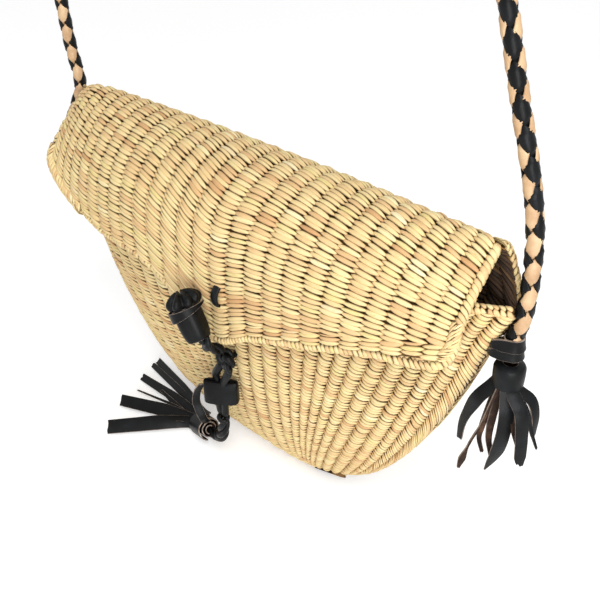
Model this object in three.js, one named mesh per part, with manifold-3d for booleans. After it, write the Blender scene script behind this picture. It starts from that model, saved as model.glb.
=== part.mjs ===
// Woven half-moon crossbody bag: a boat-shaped straw pouch whose back wall rises to a ridge and
// folds over as a flap, with leather lashings, toggle closure, tassels and a round braided strap.
// Millimetres, +Z up, front of the bag towards -Y. The origin is the point the strap hangs from.
import * as THREE from 'three';
import { mergeVertices } from 'three/addons/utils/BufferGeometryUtils.js';
import Module from 'manifold-3d';

const wasm = await Module();
wasm.setup();

// Straw pouch
const pouchHalfLength = 164.6;
const rimHeight = 166.5;
const pouchHalfDepth = 33;
const keelPower = 3.1;        // how late the keel rises towards the pointed ends
const planPower = 2.3;        // how full the mouth's lens shape is
const planTaper = 0.7;
const sectionPower = 0.7;     // how round the bottom is across the bag
const keelShift = 6.5;        // the hand-made bottom sags a little to one side
const keelFlat = 1.2;         // depth of the worn flat that the bag stands on
const strawWall = 5;
const endWall = 9;            // the two walls are woven together at the pointed ends
const seatGap = 0.3;

// Back panel, ridge and flap
const ridgeHeight = 196.3;
const ridgeY = 4.7;
const ridgeHalfLength = 150;
const sheetThickness = 4.6;
const hingeGap = 0.3;
const panelFoot = 9.5;        // how far the back panel is woven into the pouch wall
const flapReachMiddle = 45.5;
const flapReachEnd = 33.5;
const flapRoundHeight = 70;
const flapTipX = 12;
const flapTipHeight = 101.5;
const flapCornerHeight = 150;
const flapLeftCornerHeight = 156;
const flapShoulderHeight = 129;

// Braided edges
const rimBraidRadius = 2.5;
const edgeBraidRadius = 2.75;

// Strap, from one collar over the hanging point to the other collar
const strapDiameter = 8.5;
const hangHeight = 512;
const strapSides = 8;
const strapSteps = 60;

// End collars, lashings and side tassels
const collarOverhang = 1.8;   // the collar's axis lies just past the pouch's pointed end
const collarX = pouchHalfLength + collarOverhang;
const collarTop = 156.2;
const collarRadius = 6.4;
const collarLip = 0.6;
const collarFoot = 142.2;
const collarPoint = 0.3;
const collarCone = 4.6;       // the neck that the tassel swings on
const strapClearance = 0.6;
const socketDepth = 3.4;
const socketFlare = 0.5;
const bandTop = collarFoot - seatGap;
const bandHeight = 12.5;
const bandRadius = 7.4;
const bandWall = 1.6;
const stripWidth = 5;
const stripThickness = 1.2;
const lashingRadius = 1.3;
const lashingHeights = [153.2, 149.4];
const lashingInset = 11.5;    // how far in from the collar's axis the lashing goes through the straw
const lashingReach = 8.4;

// Toggle closure on the flap
const toggleX = flapTipX - 1.5;
const toggleZ = flapTipHeight + 15.7;
const toggleTilt = 49;        // degrees below level, down to the right
const toggleLength = 21;
const toggleRadius = 8.2;
const toggleBandThickness = 1.3;
const toggleBandWidth = 8;
const rolledLeather = 1.9;
const rollGap = 0.45;
const coreRadius = 1.9;
const crownRadius = 7.6;
const crownLength = 7.5;
const crownFolds = 7;
const stalkRadius = 1.8;
const stopRadius = 3.6;
const stopThickness = 2.4;
const stitchX = flapTipX + 6.5;
const stitchTop = flapTipHeight + 38;
const stitchFoot = flapTipHeight + 25.5;
const thongRadius = 1.7;
const thongClearance = 0.3;
const loopStrandRadius = 1.7;

// Lanyard below the toggle, on the pouch
const knotX = 16;
const knotZ = 86.5;
const knotRadius = 6;
const knotStrand = 2.1;
const anchorRadius = 1.8;
const beadX = 9;
const beadZ = 59.5;
const beadWidth = 20;
const beadDepth = 8.8;
const beadHeight = 13.5;
const strandRadius = 2;
const strandSpacing = 5.2;
const strandRoom = 0.5;
const lanyardY = -38.5;
const pivotZ = 38;
const pivotKnotRadius = 2.8;    // small knot that the front tassel turns on

// Front tassel, its rolled head lying on the table
const rollX = -19.5;
const rollY = -31;
const rollRadius = 8.2;
const rollLength = 14;
const tableGap = 0.2;
const tasselThongRadius = 2.2;
const frontStripWidth = 6.5;

const straw = { color: 0xe6cd8c, roughness: 0.75, metalness: 0 };
const blackLeather = { color: 0x1e1f22, roughness: 0.5, metalness: 0 };
const tanLeather = { color: 0xd9b98a, roughness: 0.55, metalness: 0 };

const bag = new THREE.Group();
bag.position.z = -hangHeight;

const point = (x, y, z) => new THREE.Vector3(x, y, z);

function addPart(name, geometry, look) {
  const mesh = new THREE.Mesh(geometry, new THREE.MeshStandardMaterial(look));
  mesh.name = name;
  bag.add(mesh);
  return mesh;
}

// Turns every face the other way if the closed body is inside out
function facedOutwards(positions, index) {
  let volume = 0;
  const a = point(), b = point(), c = point();
  for (let i = 0; i < index.length; i += 3) {
    a.fromArray(positions, index[i] * 3);
    b.fromArray(positions, index[i + 1] * 3);
    c.fromArray(positions, index[i + 2] * 3);
    volume += a.dot(b.cross(c));
  }
  if (volume < 0) index.reverse();
  const geometry = new THREE.BufferGeometry();
  geometry.setAttribute('position', new THREE.Float32BufferAttribute(positions, 3));
  geometry.setIndex(index);
  geometry.computeVertexNormals();
  return geometry;
}

// A closed body through a row of closed rings with as many points each, with a fan over each end
function loftBody(rings) {
  const count = rings[0].length;
  const positions = [];
  const index = [];
  rings.forEach((ring) => ring.forEach((p) => positions.push(p.x, p.y, p.z)));
  for (let r = 0; r < rings.length - 1; r += 1) {
    for (let m = 0; m < count; m += 1) {
      const next = (m + 1) % count;
      const a = r * count + m, b = r * count + next;
      index.push(a, b, b + count, a, b + count, a + count);
    }
  }
  [[0, rings[0], true], [(rings.length - 1) * count, rings[rings.length - 1], false]].forEach(
    ([first, ring, isStart]) => {
      const centre = ring.reduce((sum, p) => sum.add(p), point(0, 0, 0)).divideScalar(count);
      const hub = positions.length / 3;
      positions.push(centre.x, centre.y, centre.z);
      for (let m = 0; m < count; m += 1) {
        const a = first + m, b = first + (m + 1) % count;
        if (isStart) index.push(hub, b, a);
        else index.push(hub, a, b);
      }
    });
  return facedOutwards(positions, index);
}

// A sheet of even thickness on a grid of points, closed around its edge. Its first row is the
// ridge, where the sheet lies level.
function sheetBody(columns, rows, pointAt, thickness) {
  const step = 0.002;
  const positions = [];
  [1, -1].forEach((side) => {
    for (let j = 0; j <= rows; j += 1) {
      for (let i = 0; i <= columns; i += 1) {
        const u = i / columns, v = j / rows;
        const along = pointAt(Math.min(u + step, 1), v).sub(pointAt(Math.max(u - step, 0), v));
        const down = pointAt(u, Math.min(v + step, 1)).sub(pointAt(u, Math.max(v - step, 0)));
        const normal = along.cross(down).normalize();
        if (j === 0) normal.set(0, 0, Math.sign(down.y));
        const p = pointAt(u, v).addScaledVector(normal, side * thickness / 2);
        positions.push(p.x, p.y, p.z);
      }
    }
  });
  const width = columns + 1;
  const layer = width * (rows + 1);
  const index = [];
  const quad = (a, b, c, d) => index.push(a, b, c, a, c, d);
  for (let j = 0; j < rows; j += 1) {
    for (let i = 0; i < columns; i += 1) {
      const a = j * width + i;
      quad(a, a + 1, a + 1 + width, a + width);
      quad(layer + a, layer + a + width, layer + a + 1 + width, layer + a + 1);
    }
  }
  for (let i = 0; i < columns; i += 1) {
    const foot = rows * width + i;
    quad(i + 1, i, layer + i, layer + i + 1);
    quad(foot, foot + 1, layer + foot + 1, layer + foot);
  }
  for (let j = 0; j < rows; j += 1) {
    const left = j * width, right = left + columns;
    quad(left, left + width, layer + left + width, layer + left);
    quad(right + width, right, layer + right, layer + right + width);
  }
  return facedOutwards(positions, index);
}

function tube(points, radius, sides, steps) {
  const section = new THREE.Shape();
  for (let k = 0; k < sides; k += 1) {
    const turn = k / sides * Math.PI * 2;
    const x = radius * Math.cos(turn), y = radius * Math.sin(turn);
    if (k === 0) section.moveTo(x, y);
    else section.lineTo(x, y);
  }
  section.closePath();
  const path = new THREE.CatmullRomCurve3(points);
  return joined(new THREE.ExtrudeGeometry(section, {
    steps, extrudePath: path, bevelEnabled: false,
  }));
}

// A leather strip along a path, its broad side towards one direction, narrower at its tip
function strip(points, width, thickness, towards, steps, tip) {
  const path = new THREE.CatmullRomCurve3(points);
  const rings = [];
  for (let k = 0; k <= steps; k += 1) {
    const along = path.getTangentAt(k / steps);
    const across = along.clone().cross(towards).normalize();
    const through = across.clone().cross(along).normalize();
    const half = width / 2 * (k === steps ? tip : 1);
    const centre = path.getPointAt(k / steps);
    rings.push([[-1, -1], [1, -1], [1, 1], [-1, 1]].map(([a, b]) => centre.clone()
      .addScaledVector(across, a * half).addScaledVector(through, b * thickness / 2)));
  }
  return loftBody(rings);
}

// A profile of radius and height, turned about Z
function turned(profile, segments) {
  const points = profile.map(([radius, height]) => new THREE.Vector2(radius, height));
  return joined(new THREE.LatheGeometry(points, segments).rotateX(Math.PI / 2));
}

// A strip rolled up around a core, as an outline across its axis pushed along Z, centred
function rolledStrip(outerRadius, innerRadius, thickness, gap, length) {
  const turns = (outerRadius - innerRadius - thickness) / (thickness + gap);
  const steps = Math.round(turns * 12);
  const radiusAt = (k) => outerRadius - (thickness + gap) * turns * k / steps;
  const at = (k, radius) => {
    const turn = turns * k / steps * Math.PI * 2;
    return [radius * Math.cos(turn), radius * Math.sin(turn)];
  };
  const outline = new THREE.Shape();
  outline.moveTo(...at(0, radiusAt(0)));
  for (let k = 1; k <= steps; k += 1) outline.lineTo(...at(k, radiusAt(k)));
  for (let k = steps; k >= 0; k -= 1) outline.lineTo(...at(k, radiusAt(k) - thickness));
  outline.closePath();
  return joined(new THREE.ExtrudeGeometry(outline, { depth: length, bevelEnabled: false })
    .translate(0, 0, -length / 2));
}

// Joins the shared corners, drops the empty faces at a pole and points all faces outwards
function joined(geometry) {
  const bare = geometry.clone();
  bare.deleteAttribute('normal');
  bare.deleteAttribute('uv');
  const merged = mergeVertices(bare, 1e-4);
  const corners = merged.index.array;
  const index = [];
  for (let i = 0; i < corners.length; i += 3) {
    const [a, b, c] = [corners[i], corners[i + 1], corners[i + 2]];
    if (a !== b && b !== c && c !== a) index.push(a, b, c);
  }
  return facedOutwards(Array.from(merged.attributes.position.array), index);
}

function toSolid(geometry) {
  const closed = joined(geometry);
  return new wasm.Manifold(new wasm.Mesh({
    numProp: 3,
    vertProperties: new Float32Array(closed.attributes.position.array),
    triVerts: new Uint32Array(closed.index.array),
  }));
}

function toGeometry(solid) {
  const mesh = solid.getMesh();
  const geometry = new THREE.BufferGeometry();
  geometry.setAttribute('position', new THREE.Float32BufferAttribute(mesh.vertProperties, 3));
  geometry.setIndex(Array.from(mesh.triVerts));
  geometry.computeVertexNormals();
  return geometry;
}

function placedBox(width, depth, height, x, y, z) {
  return toSolid(new THREE.BoxGeometry(width, depth, height).translate(x, y, z));
}

// A round hole's cutter that lies along Y
function boreAlongY(radius, x, y, z, length) {
  return toSolid(new THREE.CylinderGeometry(radius, radius, length, 12).translate(x, y, z));
}

// Pouch surface: the mouth is a lens, the keel curves up to the two ends
const lensWidth = (x, halfLength, halfDepth) =>
  halfDepth * Math.max(1 - Math.abs(x / halfLength) ** planPower, 0) ** planTaper;

function hullRings(halfLength, halfDepth, bottom, top, stations, steps) {
  const rings = [];
  for (let k = 0; k <= stations; k += 1) {
    const t = Math.sin((k / stations - 0.5) * Math.PI) * 0.9985;
    const x = halfLength * t + keelShift * (1 - t * t);
    const keel = bottom + (top - bottom) * Math.abs(t) ** keelPower;
    const halfWidth = lensWidth(halfLength * t, halfLength, halfDepth);
    const ring = [];
    for (let m = 0; m <= steps; m += 1) {
      const turn = m / steps * Math.PI;
      const drop = (top - keel) * Math.sin(turn) ** sectionPower;
      ring.push(point(x, -halfWidth * Math.cos(turn), top - drop));
    }
    rings.push(ring);
  }
  return rings;
}

// The back wall's middle surface from inside the pouch wall up to the ridge
const wallMiddle = (x) => lensWidth(x, pouchHalfLength, pouchHalfDepth) - strawWall / 2;
const ridgeMiddle = ridgeHeight - sheetThickness / 2;
const braidRoom = 2 * edgeBraidRadius + seatGap;

function backPanelHalf(z) {
  const rise = Math.max((z - rimHeight) / (ridgeHeight - rimHeight), 0);
  return pouchHalfLength - 1 + (ridgeHalfLength - pouchHalfLength) * rise - braidRoom;
}

function backPoint(u, v) {
  const foot = rimHeight - panelFoot;
  const bezier = (a, b, c, d) => a * (1 - v) ** 3 + 3 * b * v * (1 - v) ** 2
    + 3 * c * v * v * (1 - v) + d * v ** 3;
  const z = bezier(foot, foot + 21, ridgeMiddle, ridgeMiddle);
  const x = (u * 2 - 1) * backPanelHalf(z);
  const wall = wallMiddle(x);
  const nearRidge = ridgeY + 0.35 * (wall - ridgeY) + 3;
  return point(x, bezier(wall, wall, nearRidge, ridgeY + hingeGap / 2), z);
}

// The flap's middle surface: full over the mouth, and straighter at its two side edges
function flapY(x, z) {
  const drop = Math.min(Math.max((ridgeMiddle - z) / flapRoundHeight, 0), 1);
  const middle = flapReachMiddle * Math.sqrt(1 - (1 - drop) ** 4);
  const end = flapReachEnd * (1 - (1 - Math.min(drop / 0.7, 1)) ** 1.6);
  const share = Math.max(1 - Math.abs(x / ridgeHalfLength) ** 2.5, 0);
  return ridgeY - hingeGap / 2 - share * middle - (1 - share) * end;
}

// The flap's lower outline: two corners, soft shoulders and a blunt tip off centre
const flapOutline = new THREE.CatmullRomCurve3([
  point(-ridgeHalfLength, 0, flapLeftCornerHeight),
  point(-0.85 * ridgeHalfLength, 0, flapLeftCornerHeight - 15),
  point(-0.6 * ridgeHalfLength, 0, flapShoulderHeight + 1),
  point(-0.33 * ridgeHalfLength, 0, flapShoulderHeight),
  point(-0.16 * ridgeHalfLength, 0, flapShoulderHeight - 8.5),
  point(flapTipX, 0, flapTipHeight),
  point(0.26 * ridgeHalfLength, 0, flapTipHeight + 13),
  point(0.53 * ridgeHalfLength, 0, flapShoulderHeight),
  point(0.75 * ridgeHalfLength, 0, flapShoulderHeight + 11),
  point(ridgeHalfLength, 0, flapCornerHeight),
], false, 'centripetal');
const outlinePoints = flapOutline.getPoints(120);

function flapFoot(x) {
  let k = 0;
  while (k < outlinePoints.length - 2 && outlinePoints[k + 1].x < x) k += 1;
  const a = outlinePoints[k], b = outlinePoints[k + 1];
  return a.z + (b.z - a.z) * (x - a.x) / (b.x - a.x);
}

const flapPanelHalf = ridgeHalfLength - braidRoom;

// The braid along the foot lies under the panel by its own thickness across the slope
function flapPanelFoot(x) {
  const slope = (flapFoot(x + 1) - flapFoot(x - 1)) / 2;
  return flapFoot(x) + edgeBraidRadius + (edgeBraidRadius + 1.5 * seatGap) * Math.hypot(1, slope);
}

function flapPoint(u, v) {
  const x = (u * 2 - 1) * flapPanelHalf;
  const z = ridgeMiddle - (ridgeMiddle - flapPanelFoot(x)) * v ** 1.7;
  return point(x, flapY(x, z), z);
}

const flapFaceY = (x, z) => flapY(x, z) - sheetThickness / 2;
const flapBackY = (x, z) => flapY(x, z) + sheetThickness / 2;

// Pouch front face at a place near its middle, for what is seated on it
function pouchFaceY(x, z) {
  const t = (x - keelShift) / pouchHalfLength;
  const keel = rimHeight * Math.abs(t) ** keelPower - keelFlat;
  const sine = ((rimHeight - z) / (rimHeight - keel)) ** (1 / sectionPower);
  return -lensWidth(t * pouchHalfLength, pouchHalfLength, pouchHalfDepth)
    * Math.sqrt(1 - sine * sine);
}

const rimTop = rimHeight - 2 * rimBraidRadius - seatGap;
const knotY = pouchFaceY(knotX, knotZ) - seatGap - knotRadius;
const pouchHull = (grow) => toSolid(loftBody(hullRings(pouchHalfLength + grow,
  pouchHalfDepth + grow, -keelFlat - grow, rimHeight, 28, 14)));

function makePouch() {
  const inner = toSolid(loftBody(hullRings(pouchHalfLength - endWall, pouchHalfDepth - strawWall,
    strawWall - keelFlat, rimHeight + 1, 20, 10)));
  const size = 4 * pouchHalfLength;
  let solid = pouchHull(0).subtract(inner)
    .subtract(placedBox(size, size, size, 0, 0, rimTop + size / 2))
    .subtract(placedBox(size, size, size, 0, 0, -size / 2));
  solid = solid.add(toSolid(sheetBody(24, 6, (u, v) => backPoint(u, 1 - v), sheetThickness)));
  const wallY = pouchFaceY(knotX, knotZ) + strawWall / 2;
  solid = solid.subtract(boreAlongY(anchorRadius + thongClearance, knotX, wallY, knotZ, 16));
  [-1, 1].forEach((side) => lashingHeights.forEach((z) => {
    const x = side * (collarX - lashingInset);
    solid = solid.subtract(boreAlongY(lashingRadius + thongClearance, x, 0, z, 40));
  }));
  return toGeometry(solid);
}
addPart('pouch_basket', makePouch(), straw);

// Braided edge that finishes the front rim
function makeRimBraid() {
  const points = [];
  const reach = pouchHalfLength - 4.5;
  for (let k = 0; k <= 40; k += 1) {
    const x = reach * Math.sin((k / 40 - 0.5) * Math.PI);
    const y = -lensWidth(x, pouchHalfLength, pouchHalfDepth) + strawWall / 2;
    points.push(point(x, y, rimTop + seatGap + rimBraidRadius));
  }
  return tube(points, rimBraidRadius, 6, 40);
}
addPart('front_rim_braid', makeRimBraid(), straw);

// Braided side edges of the back panel, from the rim's end up to the ridge
function makeBackEdgeBraid(side) {
  const points = [];
  for (let k = 0; k <= 8; k += 1) {
    const edge = backPoint(side > 0 ? 1 : 0, 0.2 + 0.72 * k / 8);
    edge.x += side * (3 * seatGap + edgeBraidRadius);
    points.push(edge);
  }
  return tube(points, edgeBraidRadius, 6, 8);
}
addPart('back_edge_braid_left', makeBackEdgeBraid(-1), straw);
addPart('back_edge_braid_right', makeBackEdgeBraid(1), straw);

// Where the toggle lies: its axis runs down to the right, close in front of the flap
const tilt = THREE.MathUtils.degToRad(toggleTilt);
const toggleAxis = point(Math.cos(tilt), 0, -Math.sin(tilt));
const toggleReach = toggleRadius + seatGap + toggleBandThickness;
const toggleY = flapFaceY(toggleX, toggleZ) - seatGap - toggleReach;
const alongToggle = (distance) => point(toggleX, toggleY, toggleZ)
  .addScaledVector(toggleAxis, distance);
const crownFoot = -toggleLength / 2 - seatGap;
const stalk = alongToggle(crownFoot - crownLength / 2);

// Turns a body that was made along Z so that it lies along the toggle
function laidOnToggle(geometry, distance) {
  const turn = new THREE.Quaternion().setFromUnitVectors(point(0, 0, 1), toggleAxis);
  const place = alongToggle(distance);
  return geometry.applyQuaternion(turn).translate(place.x, place.y, place.z);
}

// Flap with the holes that the stitch and the toggle's stalk pass through
function makeFlap() {
  let solid = toSolid(sheetBody(28, 9, flapPoint, sheetThickness));
  const holes = [[stitchX, stitchTop, thongRadius], [stitchX, stitchFoot, thongRadius],
    [stalk.x, stalk.z, stalkRadius]];
  holes.forEach(([x, z, radius]) => {
    solid = solid.subtract(boreAlongY(radius + thongClearance, x, flapY(x, z), z, 14));
  });
  return toGeometry(solid);
}
addPart('flap_panel', makeFlap(), straw);

// Braided edge that runs down one side of the flap, along its foot and up the other side
function makeFlapEdgeBraid() {
  const half = ridgeHalfLength - edgeBraidRadius;
  const sideTop = ridgeMiddle - edgeBraidRadius;
  const points = [];
  const addSide = (side) => {
    const foot = flapFoot(side * half) + edgeBraidRadius + 1;
    const run = [0, 1, 2, 3, 4, 5, 6].map((k) => sideTop + (foot - sideTop) * k / 6);
    if (side > 0) run.reverse();
    run.forEach((z) => points.push(point(side * half, flapY(side * half, z), z)));
  };
  addSide(-1);
  for (let k = 0; k <= 50; k += 1) {
    const x = (half - 4.75) * (k / 25 - 1);
    const z = flapFoot(x) + edgeBraidRadius;
    points.push(point(x, flapY(x, z), z));
  }
  addSide(1);
  return tube(points, edgeBraidRadius, 6, 84);
}
addPart('flap_edge_braid', makeFlapEdgeBraid(), straw);

// The strap's middle line, chosen by hand: out of one collar, over the hanging point, down
const socketFoot = collarTop - socketDepth;
const strapRoute = [
  [166.4, 0, socketFoot + seatGap], [166.5, 0, 155.6], [167.2, 0.1, 159.4],
  [168.4, 0.3, 163.5], [168.9, 0.9, 170], [168.9, 1.8, 179], [168.1, 3, 191], [166, 4, 208],
  [161.2, 4, 229], [151.6, 4, 259], [141, 4, 294.6], [129, 3.6, 335], [112, 3, 380],
  [89, 2.2, 425], [59, 1.2, 470], [30, 0.4, 501], [0, 0, hangHeight], [-29, 0.4, 506],
  [-57, 1, 490], [-85, 2, 467], [-111, 3.2, 437], [-134, 4.8, 398], [-152, 6.6, 350],
  [-163.4, 8, 300], [-167.2, 8.7, 258], [-166.9, 8.9, 233], [-165.4, 9.2, 210],
  [-163.8, 9.8, 199], [-163.2, 10, 190], [-164.4, 8.8, 182], [-166.4, 6.3, 175],
  [-168, 3.4, 168], [-168, 1.3, 162], [-167.1, 0.3, 158.3], [-166.5, 0, 155.6],
  [-166.4, 0, socketFoot + seatGap],
];
const strapPoints = strapRoute.map(([x, y, z]) => point(x, y, z));
addPart('braided_strap', tube(strapPoints, strapDiameter / 2, strapSides, strapSteps),
  tanLeather);

// Leather collar: a socket that the strap's end sits in, saddled on the pouch's pointed end
function makeCollar(side) {
  const bore = strapDiameter / 2 + strapClearance;
  const body = turned([
    [0, collarFoot], [collarPoint, collarFoot], [collarRadius - 1, collarFoot + collarCone],
    [collarRadius, collarFoot + collarCone + 1], [collarRadius, collarTop - 2.5],
    [collarRadius + collarLip, collarTop], [bore + socketFlare, collarTop],
    [bore, socketFoot],
    [0, socketFoot],
  ], 20).translate(side * collarX, 0, 0);
  return toGeometry(toSolid(body).subtract(pouchHull(1.2 * seatGap)));
}

// Thong through the pouch's end and round the collar, its two ends meeting inside the straw
function makeLashing(side, z) {
  const hole = collarX - lashingInset;
  const turnRadius = collarRadius + seatGap + lashingRadius;
  const points = [];
  const add = (x, y) => points.push(point(side * x, y, z));
  add(hole, -seatGap / 2);
  add(hole, -lashingReach / 2);
  add(hole, -lashingReach + 1.4);
  add(hole + 1.4, -lashingReach - 0.4);
  for (let k = 0; k <= 10; k += 1) {
    const turn = (k / 10 - 0.5) * Math.PI;
    add(collarX + turnRadius * Math.cos(turn), turnRadius * Math.sin(turn));
  }
  add(hole + 1.4, lashingReach + 0.4);
  add(hole, lashingReach - 1.4);
  add(hole, lashingReach / 2);
  add(hole, seatGap / 2);
  return tube(points, lashingRadius, 6, 22);
}

// Cuff around the head of a side tassel, closed on top with a rounded shoulder
function makeBand(side) {
  const inside = bandRadius - bandWall;
  const foot = bandTop - bandHeight;
  return turned([
    [0, bandTop], [bandRadius - 2.2, bandTop], [bandRadius - 0.6, bandTop - 1.2],
    [bandRadius, bandTop - 3], [bandRadius, foot], [inside, foot],
    [inside, bandTop - bandWall - 1], [0, bandTop - bandWall - 1],
  ], 20).translate(side * collarX, 0, 0);
}

// Tips of the strips below the cuff: across, front to back and down. The left tassel hangs
// behind the bag.
const rightTips = [[-21, -3, 45], [-14, -11, 56], [-12, 7, 44], [-7, -11, 50], [-1, -12, 50],
  [9, -9, 44], [15, -2, 38], [19, 3, 24], [8, 10, 38], [-2, 11, 44]];
const leftTips = [[-4, 6, 34], [1, 11, 38], [7, 14, 36], [12, 17, 32], [5, 19, 35], [-2, 15, 33],
  [10, 8, 38], [3, 3, 36], [8, -3, 33]];

function makeFringe(side, tips) {
  const foot = bandTop - bandHeight;
  const coreTop = bandTop - bandWall - 1 - seatGap;
  const core = bandRadius - bandWall - 2 * seatGap;
  const start = core - 1.6;
  const head = turned([[0, coreTop], [core, coreTop], [core, foot + 2], [0, foot + 2]], 16);
  let solid = toSolid(head.translate(side * collarX, 0, 0));
  tips.forEach(([across, back, down]) => {
    const out = point(across, back, 0).normalize();
    const at = (radius, z) => out.clone().multiplyScalar(radius).add(point(side * collarX, 0, z));
    const end = point(side * collarX + across, back, foot - down);
    const middle = at(start + Math.hypot(across, back) * 0.32, foot - down * 0.45);
    const path = [at(start, coreTop - 3), at(start, foot + 4), at(start + 0.4, foot - 1), middle,
      end];
    solid = solid.add(toSolid(strip(path, stripWidth, stripThickness, out, 4, 0.4)));
  });
  return toGeometry(solid);
}

[['left', -1, leftTips], ['right', 1, rightTips]].forEach(([name, side, tips]) => {
  addPart(`strap_collar_${name}`, makeCollar(side), blackLeather);
  addPart(`upper_lashing_${name}`, makeLashing(side, lashingHeights[0]), blackLeather);
  addPart(`lower_lashing_${name}`, makeLashing(side, lashingHeights[1]), blackLeather);
  addPart(`side_tassel_band_${name}`, makeBand(side), blackLeather);
  addPart(`side_tassel_fringe_${name}`, makeFringe(side, tips), blackLeather);
});

// Toggle: a strip rolled into a barrel around the crown knot's thong
const toggleRoll = rolledStrip(toggleRadius, coreRadius + thongClearance, rolledLeather, rollGap,
  toggleLength);
addPart('toggle_barrel', laidOnToggle(toggleRoll, 0), blackLeather);

function makeToggleBand() {
  const inside = toggleRadius + seatGap;
  const outside = inside + toggleBandThickness;
  const half = toggleBandWidth / 2;
  const band = turned([[inside, -half], [outside - 0.3, -half], [outside, 0],
    [outside - 0.3, half], [inside, half], [inside, -half]], 22);
  return laidOnToggle(band, -toggleLength / 2 + half + 1);
}
addPart('toggle_wrap_band', makeToggleBand(), blackLeather);

// Gathered crown with its folds, the thong through the barrel, and the stalk through the flap
function makeCrown() {
  const rings = [];
  for (let k = 0; k <= 6; k += 1) {
    const height = k / 6;
    const swell = crownRadius * Math.sin((0.1 + 0.8 * height) * Math.PI) ** 0.55;
    const ring = [];
    for (let m = 0; m < crownFolds * 3; m += 1) {
      const turn = m / (crownFolds * 3) * Math.PI * 2;
      const radius = swell * (1 + 0.09 * Math.cos(turn * crownFolds + height));
      ring.push(point(radius * Math.cos(turn), radius * Math.sin(turn), -height * crownLength));
    }
    rings.push(ring);
  }
  const crown = toSolid(laidOnToggle(loftBody(rings), crownFoot));
  const coreEnd = toggleLength - 2;
  const core = turned([[0, -1], [coreRadius, -1], [coreRadius, coreEnd], [0, coreEnd]], 12);
  const backFace = flapBackY(stalk.x, stalk.z) + seatGap;
  const stalkLength = backFace + stopThickness - stalk.y;
  const stop = new THREE.CylinderGeometry(stopRadius, stopRadius, stopThickness, 14)
    .translate(stalk.x, backFace + stopThickness / 2, stalk.z);
  return toGeometry(crown.add(toSolid(laidOnToggle(core, crownFoot)))
    .add(boreAlongY(stalkRadius, stalk.x, stalk.y + stalkLength / 2, stalk.z, stalkLength))
    .add(toSolid(stop)));
}
addPart('toggle_crown_knot', makeCrown(), blackLeather);

// Thong sewn through the flap above the toggle, its two ends meeting on the inside
function makeStitch() {
  const room = seatGap + thongRadius;
  const middle = (stitchTop + stitchFoot) / 2;
  const outside = flapFaceY(stitchX, middle) - room;
  const inside = flapBackY(stitchX, middle) + room;
  const run = [[inside, middle + 0.6], [inside, stitchTop - 2.2], [inside - 1.6, stitchTop],
    [(inside + outside) / 2, stitchTop], [outside + 1.6, stitchTop], [outside, stitchTop - 2.2],
    [outside, middle], [outside, stitchFoot + 2.2], [outside + 1.6, stitchFoot],
    [(inside + outside) / 2, stitchFoot], [inside - 1.6, stitchFoot],
    [inside, stitchFoot + 2.2], [inside, middle - 0.6]];
  return tube(run.map(([y, z]) => point(stitchX, y, z)), thongRadius, 6, 24);
}
addPart('flap_thong_stitch', makeStitch(), blackLeather);

// Two twisted strands that hang from the toggle to just above the closure knot
function makeToggleLoop() {
  const start = alongToggle(toggleLength / 2 + 2 * seatGap);
  const path = new THREE.CatmullRomCurve3([start, start.clone().addScaledVector(toggleAxis, 2.5),
    point(knotX - 0.1, start.y + 3.6, knotZ + 15), point(knotX + 0.9, start.y + 9.5, knotZ + 10.1),
    point(knotX + 0.3, knotY - 3.2, knotZ + knotRadius + 1)]);
  const strand = (phase) => {
    const points = [];
    for (let k = 0; k <= 16; k += 1) {
      const along = path.getTangentAt(k / 16);
      const side = along.clone().cross(point(0, 1, 0)).normalize();
      const front = side.clone().cross(along);
      const turn = k / 16 * Math.PI * 2.5 + phase;
      points.push(path.getPointAt(k / 16)
        .addScaledVector(side, Math.cos(turn) * loopStrandRadius * 0.85)
        .addScaledVector(front, Math.sin(turn) * loopStrandRadius * 0.85));
    }
    return toSolid(tube(points, loopStrandRadius, 6, 12));
  };
  return toGeometry(strand(0).add(strand(Math.PI)));
}
addPart('toggle_loop', makeToggleLoop(), blackLeather);

// Closure knot: three crossing turns around a core, tied off inside the pouch wall
function makeClosureKnot() {
  const turnRadius = knotRadius - knotStrand;
  const ring = () => new THREE.TorusGeometry(turnRadius, knotStrand, 6, 14);
  let solid = toSolid(new THREE.SphereGeometry(knotRadius - 1, 10, 7));
  [ring(), ring().rotateX(Math.PI / 2), ring().rotateY(Math.PI / 2)].forEach((turn) => {
    solid = solid.add(toSolid(turn));
  });
  const insideY = pouchFaceY(knotX, knotZ) + strawWall + 2 * seatGap;
  const length = insideY + stopThickness - knotY;
  const stop = new THREE.CylinderGeometry(stopRadius, stopRadius, stopThickness, 14)
    .translate(knotX, insideY + stopThickness / 2, knotZ);
  return toGeometry(solid.translate([knotX, knotY, knotZ])
    .add(boreAlongY(anchorRadius, knotX, knotY + length / 2, knotZ, length)).add(toSolid(stop)));
}
addPart('closure_knot', makeClosureKnot(), blackLeather);

// Two strands from the knot down through the sliding bead
function makeStrand(side) {
  const across = side * strandSpacing / 2;
  const top = knotZ - knotRadius - 2 * seatGap;
  const knotSide = knotX - 1.6 + across;
  const beadSide = beadX + across;
  const foot = pivotZ + pivotKnotRadius + seatGap;
  return tube([point(knotSide, knotY, top), point(knotSide - 0.5, knotY, top - 2),
    point(beadSide + 2.4, (knotY + lanyardY) / 2, top - 5),
    point(beadSide + 0.35, lanyardY, top - 8.5), point(beadSide, lanyardY, top - 11),
    point(beadSide, lanyardY, beadZ - beadHeight / 2), point(beadSide, lanyardY, foot)],
  strandRadius, 8, 14);
}
addPart('lanyard_strand_left', makeStrand(-1), blackLeather);
addPart('lanyard_strand_right', makeStrand(1), blackLeather);

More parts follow.
